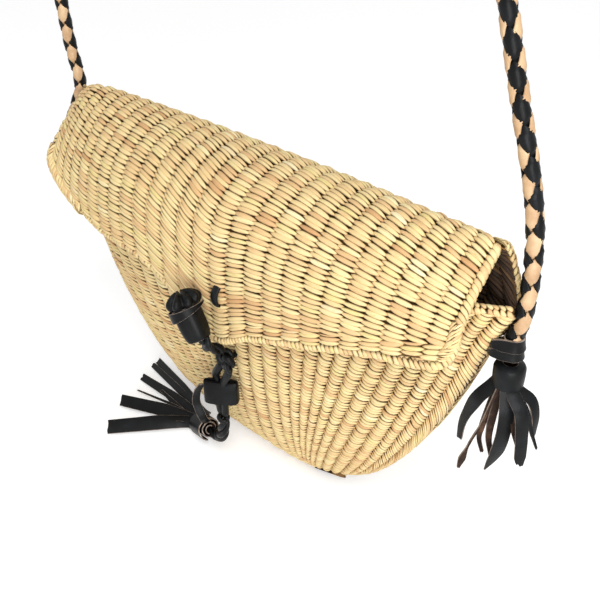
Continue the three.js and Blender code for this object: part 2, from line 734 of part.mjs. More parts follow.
function makeBead() {
  const outline = new THREE.Shape();
  outline.absellipse(0, 0, beadWidth / 2, beadDepth / 2, 0, Math.PI * 2);
  const hole = new THREE.Path();
  const holeWidth = strandSpacing / 2 + strandRadius + strandRoom;
  hole.absellipse(0, 0, holeWidth, strandRadius + 1.2 * strandRoom, 0, Math.PI * 2);
  outline.holes.push(hole);
  const body = new THREE.ExtrudeGeometry(outline, {
    depth: beadHeight, bevelEnabled: false, curveSegments: 12,
  });
  return joined(body.translate(beadX, lanyardY, beadZ - beadHeight / 2));
}
addPart('slider_bead', makeBead(), blackLeather);

// Front tassel: the thong from the strands into the rolled head, and the head with its fringe
const rollZ = rollRadius + tableGap;

function makeTasselThong() {
  const mouth = rollX + rollLength / 2;
  const thong = tube([point(beadX, lanyardY, pivotZ - 1), point(beadX - 0.4, lanyardY, pivotZ - 5),
    point(beadX - 2.6, lanyardY + 0.8, pivotZ - 13), point(beadX - 7.5, lanyardY + 3, pivotZ - 22),
    point(mouth + 7, rollY - 1.4, rollZ + 2.2), point(mouth + 1, rollY, rollZ),
    point(rollX + 3, rollY, rollZ), point(rollX - 3, rollY, rollZ)], tasselThongRadius, 8, 18);
  const knot = new THREE.SphereGeometry(pivotKnotRadius, 12, 8)
    .translate(beadX, lanyardY, pivotZ);
  return toGeometry(toSolid(thong).add(toSolid(knot)));
}
addPart('front_tassel_thong', makeTasselThong(), blackLeather);

// Strips that fan out over the table from the roll's left end: across, front to back, height
const frontTips = [[-97, -10, 4], [-95, -24, 3], [-98, -3, 7], [-84, -36, 5], [-81, -50, 4],
  [-65, -71, 3], [-70, -30, 9]];

function makeFrontTassel() {
  const roll = rolledStrip(rollRadius, tasselThongRadius + thongClearance, rolledLeather,
    rollGap, rollLength).rotateY(Math.PI / 2).translate(rollX, rollY, rollZ);
  const left = rollX - rollLength / 2;
  const plug = turned([[0, 0], [rollRadius - 1.5, 0], [rollRadius - 3, 5], [4, 8], [0, 8]], 16)
    .rotateY(-Math.PI / 2).translate(left + 1, rollY, rollZ);
  let solid = toSolid(roll).add(toSolid(plug));
  frontTips.forEach(([x, y, z], k) => {
    const spread = (k / (frontTips.length - 1) - 0.5) * rollRadius;
    const start = point(left - 1, rollY - spread, rollZ + 3 - k);
    const mid = point(left - 24, rollY - spread + (y - rollY) * 0.34, rollZ - k * 0.6);
    const late = point(x * 0.78 - 4, rollY + (y - rollY) * 0.72, z + 1.5);
    const path = [start, point(left - 6, start.y, start.z), mid, late, point(x, y, z)];
    solid = solid.add(toSolid(strip(path, frontStripWidth, stripThickness, point(0, 0, 1), 7,
      0.5)));
  });
  return toGeometry(solid);
}
addPart('front_tassel', makeFrontTassel(), blackLeather);

export default bag;
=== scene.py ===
# Half-moon straw crossbody bag: woven straw, rolled leather toggle, tassels and a round braided strap.
# Lengths are in millimetres from the table under the bag, and toFrame() turns them into the frame's metres.
import math

import bmesh
import bpy
import numpy as np
from mathutils import Matrix, Vector


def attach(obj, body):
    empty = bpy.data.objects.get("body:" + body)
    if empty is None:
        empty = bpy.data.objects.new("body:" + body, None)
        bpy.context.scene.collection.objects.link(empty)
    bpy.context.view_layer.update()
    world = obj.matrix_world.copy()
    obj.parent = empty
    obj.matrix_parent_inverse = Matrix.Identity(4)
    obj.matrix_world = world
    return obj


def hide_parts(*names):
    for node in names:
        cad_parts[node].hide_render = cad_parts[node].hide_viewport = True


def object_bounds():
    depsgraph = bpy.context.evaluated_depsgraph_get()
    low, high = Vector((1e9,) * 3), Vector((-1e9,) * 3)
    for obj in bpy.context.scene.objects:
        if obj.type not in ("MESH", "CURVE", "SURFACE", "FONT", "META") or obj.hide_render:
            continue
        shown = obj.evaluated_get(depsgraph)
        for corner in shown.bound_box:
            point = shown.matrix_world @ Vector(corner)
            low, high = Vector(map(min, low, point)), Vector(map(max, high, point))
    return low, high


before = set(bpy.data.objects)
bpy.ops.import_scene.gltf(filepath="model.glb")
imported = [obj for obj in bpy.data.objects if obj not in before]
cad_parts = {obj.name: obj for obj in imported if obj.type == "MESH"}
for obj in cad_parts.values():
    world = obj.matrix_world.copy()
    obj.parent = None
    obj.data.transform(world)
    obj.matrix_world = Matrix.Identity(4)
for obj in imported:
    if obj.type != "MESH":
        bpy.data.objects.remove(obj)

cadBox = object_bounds()
hangHeight = 512     # the strap's highest point, where the frame has its origin


def toFrame(points):
    return (np.asarray(points, float) - (0, 0, hangHeight)) / 1000


def addObject(name, data):
    item = bpy.data.objects.new(name, data)
    bpy.context.scene.collection.objects.link(item)
    return item


# Camera at the photograph's viewing angle
cameraSettings = {
    "place": (0.3029, -0.2785, -0.1303),
    "right": (0.7316, 0.6815, -0.0175),
    "up": (-0.3763, 0.4252, 0.8232),
    "back": (0.5684, -0.5957, 0.5675),
    "lens": 51.0,
    "sensor": 36,
}


def makeCamera():
    camera = bpy.data.cameras.new("camera")
    camera.lens = cameraSettings["lens"]
    camera.sensor_width = cameraSettings["sensor"]
    camera.clip_start = 0.01
    holder = addObject("camera", camera)
    axes = Matrix([cameraSettings["right"], cameraSettings["up"], cameraSettings["back"]]).transposed()
    holder.matrix_world = Matrix.Translation(cameraSettings["place"]) @ axes.to_4x4()
    bpy.context.scene.camera = holder


makeCamera()
print("camera is set")


# Materials
def hexColor(code):
    parts = [int(code[k:k + 2], 16) / 255 for k in (1, 3, 5)]
    return tuple(v / 12.92 if v <= 0.04045 else ((v + 0.055) / 1.055) ** 2.4 for v in parts) + (1,)


def addNode(tree, kind, settings=None, values=None, links=None):
    node = tree.nodes.new(kind)
    for name, value in (settings or {}).items():
        setattr(node, name, value)
    for socket, value in (values or {}).items():
        node.inputs[socket].default_value = value
    for socket, source in (links or {}).items():
        tree.links.new(source, node.inputs[socket])
    return node


def setRamp(node, stops):
    ramp = node.color_ramp
    while len(ramp.elements) > 1:
        ramp.elements.remove(ramp.elements[-1])
    ramp.elements[0].position, ramp.elements[0].color = stops[0][0], hexColor(stops[0][1])
    for place, code in stops[1:]:
        ramp.elements.new(place).color = hexColor(code)


def newMaterial(name, surface):
    material = bpy.data.materials.new(name)
    material.use_nodes = True
    tree = material.node_tree
    shader = tree.nodes["Principled BSDF"]
    for socket, value in surface.items():
        shader.inputs[socket].default_value = value
    return material, tree, shader


def addBump(tree, shader, source, size):
    bump = addNode(tree, "ShaderNodeBump", values=size, links={"Height": source.outputs["Fac"]})
    tree.links.new(bump.outputs["Normal"], shader.inputs["Normal"])


# Dried elephant grass, split and twined: matt straw with a faint wax shine, streaked along each strand
strawLook = {
    "tones": ((0.0, "#c79b6a"), (0.14, "#d3ab79"), (0.3, "#dcbb87"), (0.5, "#e4c991"), (0.68, "#e8d29c"),
              (0.82, "#dfcb8a"), (0.94, "#f0e2b6"), (1.0, "#e2c596")),
    # a colour, where it begins and where it ends on its pattern, and its share at both
    "streak": ("#b98a50", 0.5, 0.75, 0.0, 0.45),
    # painted shade: darker in the valleys between the ribs, where the depth attribute is low
    "valleyShade": ("#b07c40", 0.0, 0.6, 0.65, 0.0),
    "gapShade": ("#50331a", 0.58, 0.95, 0.0, 0.85),      # painted shade in the gaps where two strands meet
    "noise": {"Scale": 1.0, "Detail": 3.0, "Roughness": 0.6},
    "bump": {"Strength": 0.35, "Distance": 0.0003},
    "surface": {"Roughness": 0.62, "IOR": 1.45},
}


def makeStraw():
    material, tree, shader = newMaterial("dried elephant grass", strawLook["surface"])
    tone, depth, gapShade, fibre = (addNode(tree, "ShaderNodeAttribute", {"attribute_name": name})
                                  for name in ("tone", "depth", "gapShade", "fibre"))
    colors = addNode(tree, "ShaderNodeValToRGB", links={"Fac": tone.outputs["Fac"]})
    setRamp(colors, strawLook["tones"])
    streaks = addNode(tree, "ShaderNodeTexNoise", values=strawLook["noise"],
                      links={"Vector": fibre.outputs["Vector"]})
    color = colors.outputs["Color"]
    # the straw's own streaks, then painted shade in the rib valleys and in the gaps between strands
    for part, source in (("streak", streaks), ("valleyShade", depth), ("gapShade", gapShade)):
        code, begin, end, least, most = strawLook[part]
        share = addNode(tree, "ShaderNodeMapRange", links={"Value": source.outputs["Fac"]},
                        values={"From Min": begin, "From Max": end, "To Min": least, "To Max": most})
        color = addNode(tree, "ShaderNodeMix", {"data_type": "RGBA"}, {"B": hexColor(code)},
                        {"Factor": share.outputs["Result"], "A": color}).outputs["Result"]
    tree.links.new(color, shader.inputs["Base Color"])
    addBump(tree, shader, streaks, strawLook["bump"])
    return material


# The other finishes. A noise's scale is per metre: 900 gives pebbles of 1.1 mm, 70 gives patches of 14 mm
shadedLook = {      # straw in the shade of the weave, seen through its gaps
    "mottle": {"Scale": 260.0, "Detail": 2.0},
    "colors": ((0.3, "#5e431e"), (0.7, "#84602f")),
    "bump": {"Strength": 0.4, "Distance": 0.0005},
    "surface": {"Roughness": 0.9},
}
shadedInnerLook = {       # the grass inside the bag, painted darker and duller for the shade inside it, strand by strand
    "colors": ((0.2, "#2c1c10"), (0.6, "#402b17"), (1.0, "#5c4224")),
    "grain": {"Scale": 400.0, "Detail": 2.0},
    "bump": {"Strength": 0.3, "Distance": 0.0003},
    "surface": {"Roughness": 0.85},
}
blackLook = {       # black dyed goat leather, cut by hand: satin with a pebbled grain
    "mottle": {"Scale": 70.0, "Detail": 3.0},
    "colors": ((0.3, "#070708"), (0.55, "#0e0f10"), (0.8, "#1c1e21")),
    "grain": {"Scale": 900.0, "Detail": 3.0},
    "bump": {"Strength": 0.5, "Distance": 0.0002},
    "surface": {"Roughness": 0.38, "Specular IOR Level": 0.14},
}
tanLook = {         # natural vegetable-tanned leather lace: smooth and pale, a little darker where handled
    "mottle": {"Scale": 120.0, "Detail": 3.0},
    "colors": ((0.25, "#a8835c"), (0.5, "#c4a17a"), (0.8, "#d6bb93")),
    "bump": {"Strength": 0.25, "Distance": 0.0003},
    "surface": {"Roughness": 0.5},
}
cutLook = {         # the cut edge of dyed leather, where the dye hasn't gone through: pale and dull
    "mottle": {"Scale": 300.0, "Detail": 2.0},
    "colors": ((0.3, "#5e5048"), (0.6, "#9b8c80"), (0.8, "#c2b4a4")),
    "surface": {"Roughness": 0.8},
}
fleshLook = {       # the flesh side of the same hide: dark brown suede, tan where the dye is thin
    "mottle": {"Scale": 90.0, "Detail": 5.0, "Roughness": 0.7},
    "colors": ((0.35, "#1f1713"), (0.55, "#3a2a22"), (0.75, "#6b4f3c")),
    "bump": {"Strength": 0.4, "Distance": 0.0002},
    "surface": {"Roughness": 0.9, "Specular IOR Level": 0.2},
}


def makeFinish(name, look):
    # colours from a mottle on the piece or from each strand's tone, bump from the grain or else the mottle
    material, tree, shader = newMaterial(name, look["surface"])
    place = addNode(tree, "ShaderNodeTexCoord")
    noises = {part: addNode(tree, "ShaderNodeTexNoise", values=look[part],
                            links={"Vector": place.outputs["Object"]})
              for part in ("mottle", "grain") if part in look}
    mottle = noises.get("mottle") or addNode(tree, "ShaderNodeAttribute", {"attribute_name": "tone"})
    colors = addNode(tree, "ShaderNodeValToRGB", links={"Fac": mottle.outputs["Fac"]})
    setRamp(colors, look["colors"])
    tree.links.new(colors.outputs["Color"], shader.inputs["Base Color"])
    if "bump" in look:
        addBump(tree, shader, noises.get("grain", mottle), look["bump"])
    return material


straw = makeStraw()
shadedStraw = makeFinish("shaded elephant grass", shadedLook)
shadedInnerStraw = makeFinish("inner grass in painted shade", shadedInnerLook)
blackLeather = makeFinish("black dyed goat leather", blackLook)
tanLeather = makeFinish("natural tanned leather lace", tanLook)
# the hide's grain side, its cut edge and its flesh side
hide = [blackLeather, makeFinish("cut edge of dyed leather", cutLook),
        makeFinish("brown flesh side of goat leather", fleshLook)]
print("materials are made")


# Routes and nets of points, and the shapes bent to them from flat bmesh grids
def unit(vectors):
    return vectors / np.maximum(np.linalg.norm(vectors, axis=-1, keepdims=True), 1e-9)


def smoothStep(share):
    share = np.clip(share, 0, 1)
    return share ** 2 * (3 - 2 * share)


def evenPoints(points, steps=0, step=1.0):
    # points at even lengths along a line, and the length at each
    along = np.concatenate([[0], np.cumsum(np.linalg.norm(np.diff(points, axis=0), axis=1))])
    even = np.linspace(0, along[-1], steps or max(int(round(along[-1] / step)), 2) + 1)
    return np.stack([np.interp(even, along, points[:, k]) for k in range(3)], 1), even


def smoothRoute(points, step):
    # even steps along a centripetal Catmull-Rom curve through the points
    points = np.asarray(points, float)
    ends = np.vstack([2 * points[0] - points[1], points, 2 * points[-1] - points[-2]])
    knots = np.concatenate([[0], np.cumsum(np.sqrt(np.linalg.norm(np.diff(ends, axis=0), axis=1)))])
    dense = []
    for k in range(len(points) - 1):
        p, t = ends[k:k + 4], knots[k:k + 4]
        at = np.linspace(t[1], t[2], 24, endpoint=False)[:, None]
        a = [((t[j + 1] - at) * p[j] + (at - t[j]) * p[j + 1]) / (t[j + 1] - t[j]) for j in range(3)]
        b = [((t[j + 2] - at) * a[j] + (at - t[j]) * a[j + 1]) / (t[j + 2] - t[j]) for j in range(2)]
        dense.append(((t[2] - at) * b[0] + (at - t[1]) * b[1]) / (t[2] - t[1]))
    return evenPoints(np.vstack(dense + [points[-1:]]), step=step)


def carriedFrames(route, firstSide):
    # side and up directions that don't twist along the route
    heading = unit(np.gradient(route, axis=0))
    sides = np.zeros_like(route)
    side = np.asarray(firstSide, float)
    for k, ahead in enumerate(heading):
        side = unit(side - ahead * side.dot(ahead))
        sides[k] = side
    return sides, np.cross(heading, sides)


def ovalOutline(rings, corners, width, thickness):
    angle = np.linspace(0, 2 * math.pi, corners, endpoint=False)[None, :] * np.ones((rings, 1))
    return np.cos(angle) * width / 2, np.sin(angle) * thickness / 2


def netShape(net):
    # a flat grid with its points moved to the net's
    wide, deep = net.shape[:2]
    places = toFrame(net)
    shape = bmesh.new()
    bmesh.ops.create_grid(shape, x_segments=wide - 1, y_segments=deep - 1, size=1)
    for vertex in shape.verts:
        i = round((vertex.co.x + 1) / 2 * (wide - 1))
        j = round((vertex.co.y + 1) / 2 * (deep - 1))
        vertex.co = places[i, j]
    return shape


def skinShape(rings):
    # a closed skin through rings of corner points
    shape = netShape(np.concatenate([rings, rings[:, :1]], 1))
    bmesh.ops.remove_doubles(shape, verts=shape.verts, dist=1e-7)
    bmesh.ops.holes_fill(shape, edges=[e for e in shape.edges if e.is_boundary], sides=rings.shape[1])
    bmesh.ops.recalc_face_normals(shape, faces=shape.faces)
    return shape


def addShape(merged, shape, look=0):
    # look is the place of its material in the piece's list
    for face in shape.faces:
        face.material_index = look
    mesh = bpy.data.meshes.new("part")
    shape.to_mesh(mesh)
    shape.free()
    merged.from_mesh(mesh)
    bpy.data.meshes.remove(mesh)


def finishPiece(name, shape, materials, body, replaced=()):
    mesh = bpy.data.meshes.new(name)
    shape.to_mesh(mesh)
    shape.free()
    mesh.shade_smooth()
    for material in materials:
        mesh.materials.append(material)
    piece = addObject(name, mesh)
    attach(piece, body)
    if replaced:
        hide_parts(*replaced)
    return piece


# Strap: a round four-strand braid, two tan laces one way and two black ones the other way
strap = {
    "diameter": 8.5,
    "lay": 24.8,             # length of one full turn of a lace
    "thickness": 1.5,
    "widths": (6.0, 7.2),    # of the tan laces and the black ones
    "rise": 0.42,            # by its thickness, how far a lace rises where it crosses over the other two
    "snap": 2.2,             # how quickly it changes over
    "straighten": 0.3,       # a lace runs straighter along the strap where it lies on top
    "laceAngle": 58,         # degrees between a lace and the strap
    "step": 0.9,
    "corners": 10,
    # how far the tan side is turned away from the front, in degrees, against the share of the length
    "turned": [(0, 8), (0.035, -3), (0.05, -14), (0.06, -34), (0.075, -58), (0.1, -82), (0.128, -106),
               (0.183, -118), (0.5, -250), (0.88, -350), (0.95, -360), (1, -360)],
    "route": [
        (166.4, 0, 153.1), (166.5, 0, 155.6), (167.2, 0.1, 159.4), (168.4, 0.3, 163.5), (168.9, 0.9, 170),
        (168.9, 1.8, 179), (168.1, 3, 191), (166, 4, 208), (161.2, 4, 229), (151.6, 4, 259),
        (141, 4, 294.6), (129, 3.6, 335), (112, 3, 380), (89, 2.2, 425), (59, 1.2, 470), (30, 0.4, 501),
        (0, 0, 512), (-29, 0.4, 506), (-57, 1, 490), (-85, 2, 467), (-111, 3.2, 437), (-134, 4.8, 398),
        (-152, 6.6, 350), (-163.4, 8, 300), (-167.2, 8.7, 258), (-166.9, 8.9, 233), (-165.4, 9.2, 210),
        (-163.8, 9.8, 199), (-163.2, 10, 190), (-164.4, 8.8, 182), (-166.4, 6.3, 175), (-168, 3.4, 168),
        (-168, 1.3, 162), (-167.1, 0.3, 158.3), (-166.5, 0, 155.6), (-166.4, 0, 153.1),
    ],
}


def makeStrap():
    route, along = smoothRoute(strap["route"], strap["step"])
    sides, ups = carriedFrames(route, (1, 0, 0))
    thickness = strap["thickness"]
    core = strap["diameter"] / 2 - thickness
    front = np.array(cameraSettings["back"])
    facing = np.unwrap(np.arctan2(ups @ front, sides @ front))
    facing = facing + np.radians(np.interp(along / along[-1], *zip(*strap["turned"])))
    lean = math.radians(strap["laceAngle"])
    merged = bmesh.new()
    for lace in range(4):
        way = 1 if lace < 2 else -1
        flat, tall = ovalOutline(len(route), strap["corners"], strap["widths"][lace // 2], thickness)
        turn = way * 2 * math.pi * along / strap["lay"] + math.pi * (lace % 2)
        turn = turn - way * strap["straighten"] * np.sin(2 * turn)
        over = way * np.tanh(strap["snap"] * np.cos(2 * turn)) * thickness * strap["rise"]
        at = np.clip(along[:, None] - way * flat * math.cos(lean), 0, along[-1])
        angle = turn[:, None] + flat * math.sin(lean) / core + np.interp(at, along, facing)
        out = core + over[:, None] + tall
        places = [np.interp(at, along, route[:, k])
                  + out * (np.cos(angle) * np.interp(at, along, sides[:, k])
                           + np.sin(angle) * np.interp(at, along, ups[:, k])) for k in range(3)]
        addShape(merged, skinShape(np.stack(places, 2)), lace // 2)
    braid = finishPiece("strapBraid", merged, [tanLeather, blackLeather], "pouch",
                        ["braided_strap"])
    print("strap is braided,", round(along[-1]), "mm long")


makeStrap()


# Woven cloth: a sheet of points, and a straw strand for each stitch, bent over its stake
def makeCloth(curves, steps):
    # points at even shares of each curve's length, with the cloth's outward directions
    lines = [evenPoints(curve, steps) for curve in drooped(np.asarray(curves))]
    points = np.array([line for line, _ in lines])
    normals = unit(np.cross(np.gradient(points, axis=1), np.gradient(points, axis=0)))
    return {"points": points, "normals": normals, "lengths": np.array([along[-1] for _, along in lines])}


def onCloth(cloth, across, down):
    # points and outward directions at shares across and down the cloth
    wide, deep = cloth["points"].shape[:2]
    a = np.clip(across, 0, 1) * (wide - 1)
    d = np.clip(down, 0, 1) * (deep - 1)
    i, j = np.minimum(a.astype(int), wide - 2), np.minimum(d.astype(int), deep - 2)
    p, q = (a - i)[:, None], (d - j)[:, None]
    point, normal = [(1 - p) * (1 - q) * t[i, j] + p * (1 - q) * t[i + 1, j] + (1 - p) * q * t[i, j + 1]
                     + p * q * t[i + 1, j + 1] for t in (cloth["points"], cloth["normals"])]
    return point, unit(normal)


def flatSheet(columns, rows, sides, rings):
    # one straw spindle, repeated over the whole flat sheet
    shape = bmesh.new()
    bmesh.ops.create_uvsphere(shape, u_segments=sides, v_segments=rings, radius=0.5)
    bmesh.ops.rotate(shape, verts=shape.verts, matrix=Matrix.Rotation(math.pi / 2, 3, "Y"))
    mesh = bpy.data.meshes.new("strawStrand")
    shape.to_mesh(mesh)
    shape.free()
    strand = addObject("strawStrand", mesh)
    for offset, count in (((1, 0, 0), columns), ((0, 1, 0), rows)):
        repeat = strand.modifiers.new("repeat", "ARRAY")
        repeat.use_relative_offset = False
        repeat.use_constant_offset = True
        repeat.constant_offset_displace = offset
        repeat.count = count
    sheet = bpy.data.meshes.new_from_object(strand.evaluated_get(bpy.context.evaluated_depsgraph_get()))
    size = len(mesh.vertices)
    bpy.data.objects.remove(strand)
    return sheet, size


# how uneven the strands are: shares of their own size, shares of a row or a column, millimetres, and tones
uneven = {"fullness": 0.16, "thickness": 0.15, "reach": 0.1, "slant": 0.15, "row": 0.12, "column": 0.03,
          "lift": 0.18, "runTone": 0.12, "tone": 0.15}
middleTone = 0.52
# the thin dark core between the stitches of the two faces
backing = {"across": 60, "margin": 0.004, "depth": 2.9, "thickness": 0.6}


def weave(name, body, cloth, columns, look, seed, replaced=()):
    rng = np.random.default_rng(seed)
    middles = (np.arange(columns) + 0.5) / columns
    lengths = np.interp(middles, np.linspace(0, 1, len(cloth["lengths"])), cloth["lengths"])
    counts = np.maximum(np.round(lengths / look["rowPitch"]), 1).astype(int)
    rows = counts.max()
    sheet, size = flatSheet(columns, rows, look["sides"], look["rings"])
    flat = np.zeros(len(sheet.vertices) * 3)
    sheet.vertices.foreach_get("co", flat)
    flat = flat.reshape(-1, 3)
    strand = np.arange(len(flat)) // size
    column, row = strand % columns, strand // columns
    along, across, high = flat[:, 0] - column, flat[:, 1] - row, flat[:, 2]
    girth = np.maximum(np.hypot(across, high), 1e-9)
    taper = np.maximum(1 - np.abs(2 * along) ** look["taperPower"], 0) ** look["taperRound"]

    def spread(part):
        return rng.uniform(-1, 1, columns * rows)[strand] * uneven[part]

    fullness = look["fullness"] * (1 + spread("fullness"))
    thickness = look["thickness"] * (1 + spread("thickness"))
    reach = look["reach"] * (1 + spread("reach"))
    total = counts[column] + 0.5
    left, right = (onCloth(cloth, (column + edge) / columns, (row + 0.5) / total)[0] for edge in (0, 1))
    wideness = np.clip(np.linalg.norm(right - left, axis=1) / look["stake"], 0.4, 1)
    shares, tops, feet = look["slantShare"]
    low = np.clip((row + 0.5) / counts[column], 0, 1)
    slantShare = (1 - low) * np.interp(middles, shares, tops)[column]
    slantShare = slantShare + low * np.interp(middles, shares, feet)[column]
    drop = (look["slant"] * wideness * slantShare + spread("slant")) * along
    drop = drop + look["bow"] * (4 * along ** 2 - 0.33)
    down = row + look["start"] + 0.5 * (column % 2) + drop + spread("row")
    down = (down + across / girth * taper * fullness / 2) / total
    points, normals = onCloth(cloth, (column + 0.5 + spread("column") + along * reach) / columns, down)
    rib = np.maximum(np.cos(math.pi * np.clip(along, -0.5, 0.5)), 0) ** look["ribPower"]
    ribHeight = look["ribHeight"] * np.maximum(wideness, 0.75) * np.interp(down, (0, 1), look["ribShare"])
    lift = look["top"] - look["thickness"] / 2 - ribHeight * (1 - rib) + spread("lift")
    lift = lift + high / girth * taper * thickness / 2
    if "inside" in look:
        lift = -look["inside"] - lift
    places = points + normals * lift[:, None]
    if "side" in look:
        places = sideLimit(places, look["side"])
    sheet.vertices.foreach_set("co", toFrame(places).ravel())

    # three strands in a row are often one straw, of one tone
    runs = rng.normal(0, uneven["runTone"], (rows, columns // 3 + 2))
    runs = runs[:, (np.arange(columns) + 1) // 3].ravel()
    tone = np.clip(middleTone + runs + rng.normal(0, uneven["tone"], columns * rows), 0, 1)[strand]
    # depth is painted shade: low in the valleys between the ribs and on the side of each rib where its
    # strands begin, away from the light
    shade = np.clip(rib * (1 + look["oneSidedShade"] * (2 * along - 0.4)), 0, 1)
    # painted shade along the sides of each strand and at its tucked ends, where the gaps between strands
    # lie in shade
    gapShade = np.maximum(np.abs(across) / girth, np.abs(2 * along) ** 6 * 0.8)
    fibre = np.stack([along * 2.2 + tone * 40, np.arctan2(across, high) * 1.6, strand * 0.37], 1)
    for label, values in (("tone", tone), ("depth", shade), ("gapShade", gapShade)):
        sheet.attributes.new(label, "FLOAT", "POINT").data.foreach_set("value", values)
    sheet.attributes.new("fibre", "FLOAT_VECTOR", "POINT").data.foreach_set("vector", fibre.ravel())
    shape = bmesh.new()
    shape.from_mesh(sheet)
    bpy.data.meshes.remove(sheet)
    shape.verts.ensure_lookup_table()
    kept = row < counts[column]
    if "keptDown" in look:
        kept &= (down > look["keptDown"][0]) & (down < look["keptDown"][1])
    bmesh.ops.delete(shape, geom=[shape.verts[k] for k in np.nonzero(~kept)[0]], context="VERTS")
    print(name, "has", int(kept.sum() / size), "strands")
    # the inner faces get the painted shade that lies inside the bag
    finishPiece(name, shape, [shadedInnerStraw if "inside" in look else straw], body, replaced)


def makeBacking(name, body, cloth, deep, span=(0.004, 0.996), side=0):
    # span is from where to where it goes down the cloth
    shape = bmesh.new()
    bmesh.ops.create_grid(shape, x_segments=backing["across"], y_segments=deep, size=0.5)
    across, down, _ = (np.array([v.co for v in shape.verts]) + 0.5).T
    across = backing["margin"] + (1 - 2 * backing["margin"]) * across
    points, normals = onCloth(cloth, across, span[0] + (span[1] - span[0]) * down)
    places = points - normals * backing["depth"]
    if side:
        places = sideLimit(places, side)
    for vertex, place in zip(shape.verts, toFrame(places)):
        vertex.co = place
    wall = finishPiece(name, shape, [shadedStraw], body).modifiers.new("wall", "SOLIDIFY")
    wall.thickness = backing["thickness"] / 1000
    wall.offset = 0


# Pouch: two ribbed walls from the rim to the keel, the back one running on up to the ridge
pouchForm = {
    "halfLength": 164.6,
    "halfDepth": 33,
    "rimHeight": 166.5,
    "keelBottom": -1.2,
    "keelPower": 3.1,
    "planPower": 2.3,
    "planTaper": 0.7,
    "sectionPower": 0.7,
    "keelShift": 6.5,
    "leftLean": (70, 73),          # how far a rib leans in on its way to the keel, and over what length
    "rightLean": (0.35, 8),        # on the right a small share of the rib's place, up to this
    "outerLean": (40, 90, 54),     # and from here, over this length, this much more
    "ribLeanPower": 1.35,
    "besideFrom": 0.7,             # beyond this share of the half length the ribs run beside the keel
    "endCrowding": 0.12,           # the stakes stand closer at the pointed ends
    "frontColumns": 28,
    "backColumns": 26,
    # the front's stakes stand wider apart on the left: a share of their number, and its place along the rim
    "frontStakes": [(0, -164.2), (0.096, -124), (0.257, -52), (0.382, -10), (0.825, 124), (1, 164.2)],
}
panelForm = {
    "rimHalf": 163.6,
    "topHalf": 149,
    "rise": 29.8,
    "heights": (157, 178, 194, 194),      # of the Bezier curve up to the ridge
    "inset": 2.5,
    "sheet": 4.6,
    "ridgeY": 4.7,
    "endY": 4.85,
}
cornerStretch = {
    "from": 122,
    "over": 30,
    "sideways": ((150, 166, 180, 190, 197), (0, 4.4, 4.6, 4, 3)),      # heights, and the stretch at them
    "upwards": ((150, 166, 180), (0, 2.5, 0)),
}
cornerDroop = {"from": 128, "to": 150, "depth": 5.5, "low": 150, "high": 190}
pouchWeave = {
    "stake": 11.5,          # where the stakes stand closer than this, the strands lie flatter
    "rowPitch": 2.45,
    "sides": 6,
    "rings": 8,
    "reach": 1.24,
    "start": 0.15,
    "slant": 1.9,
    # places across the cloth, then the share of the slant there at the top and at the foot
    "slantShare": ((0, 0.35, 0.6, 1), (0.4, 0.7, 1, 1), (0.5, 0.8, 1, 1)),
    "bow": -0.3,
    "fullness": 1.14,
    "thickness": 1.8,
    "taperPower": 2.6,
    "taperRound": 0.8,
    "ribHeight": 3.0,
    "ribShare": (1.0, 0.9),
    "ribPower": 0.8,
    "top": 0.9,
    "oneSidedShade": 0.55,       # painted shade on the side of a rib where its strands begin, the side away from the light
}
evenSlant = ((0, 1), (1, 1), (1, 1))      # the same slant all over
# what differs on the inner face: its strands lie this far inside, coarser and flatter
insideWeave = {"inside": 4.6, "rowPitch": 3.2, "sides": 4, "rings": 5, "ribHeight": 1.2, "top": 0.6,
               "slant": -0.5, "slantShare": evenSlant, "bow": 0.0, "oneSidedShade": 0}


def planDepth(x):
    share = np.maximum(1 - np.abs(x / pouchForm["halfLength"]) ** pouchForm["planPower"], 0)
    return pouchForm["halfDepth"] * share ** pouchForm["planTaper"]


def hullShare(x):
    # where x lies along the sagged hull, from -1 to 1
    half, shift = pouchForm["halfLength"], pouchForm["keelShift"]
    return (half - np.sqrt(np.maximum(half ** 2 - 4 * shift * (x - shift), 0))) / (2 * shift)


def keelHeight(x):
    rise = pouchForm["rimHeight"] - pouchForm["keelBottom"]
    return pouchForm["keelBottom"] + rise * np.minimum(np.abs(hullShare(x)), 1) ** pouchForm["keelPower"]


def hullY(x, z):
    depth = (pouchForm["rimHeight"] - z) / np.maximum(pouchForm["rimHeight"] - keelHeight(x), 0.01)
    sine = np.clip(depth, 0, 1) ** (1 / pouchForm["sectionPower"])
    return planDepth(hullShare(x) * pouchForm["halfLength"]) * np.sqrt(1 - sine ** 2)


def endStretch(x, z):
    # the rim's corners and the back panel's edges reach out to the strap
    near = smoothStep((np.abs(x) - cornerStretch["from"]) / cornerStretch["over"])
    sideways = np.sign(x) * near * np.interp(z, *cornerStretch["sideways"])
    return sideways, near ** 3 * np.interp(z, *cornerStretch["upwards"])


def drooped(points):
    # the ridge's left end has sunk a little
    near = (-points[..., 0] - cornerDroop["from"]) / (cornerDroop["to"] - cornerDroop["from"])
    high = (points[..., 2] - cornerDroop["low"]) / (cornerDroop["high"] - cornerDroop["low"])
    sunk = points.copy()
    sunk[..., 2] -= cornerDroop["depth"] * np.clip(near, 0, 1) ** 2 * np.clip(high, 0, 1)
    return sunk


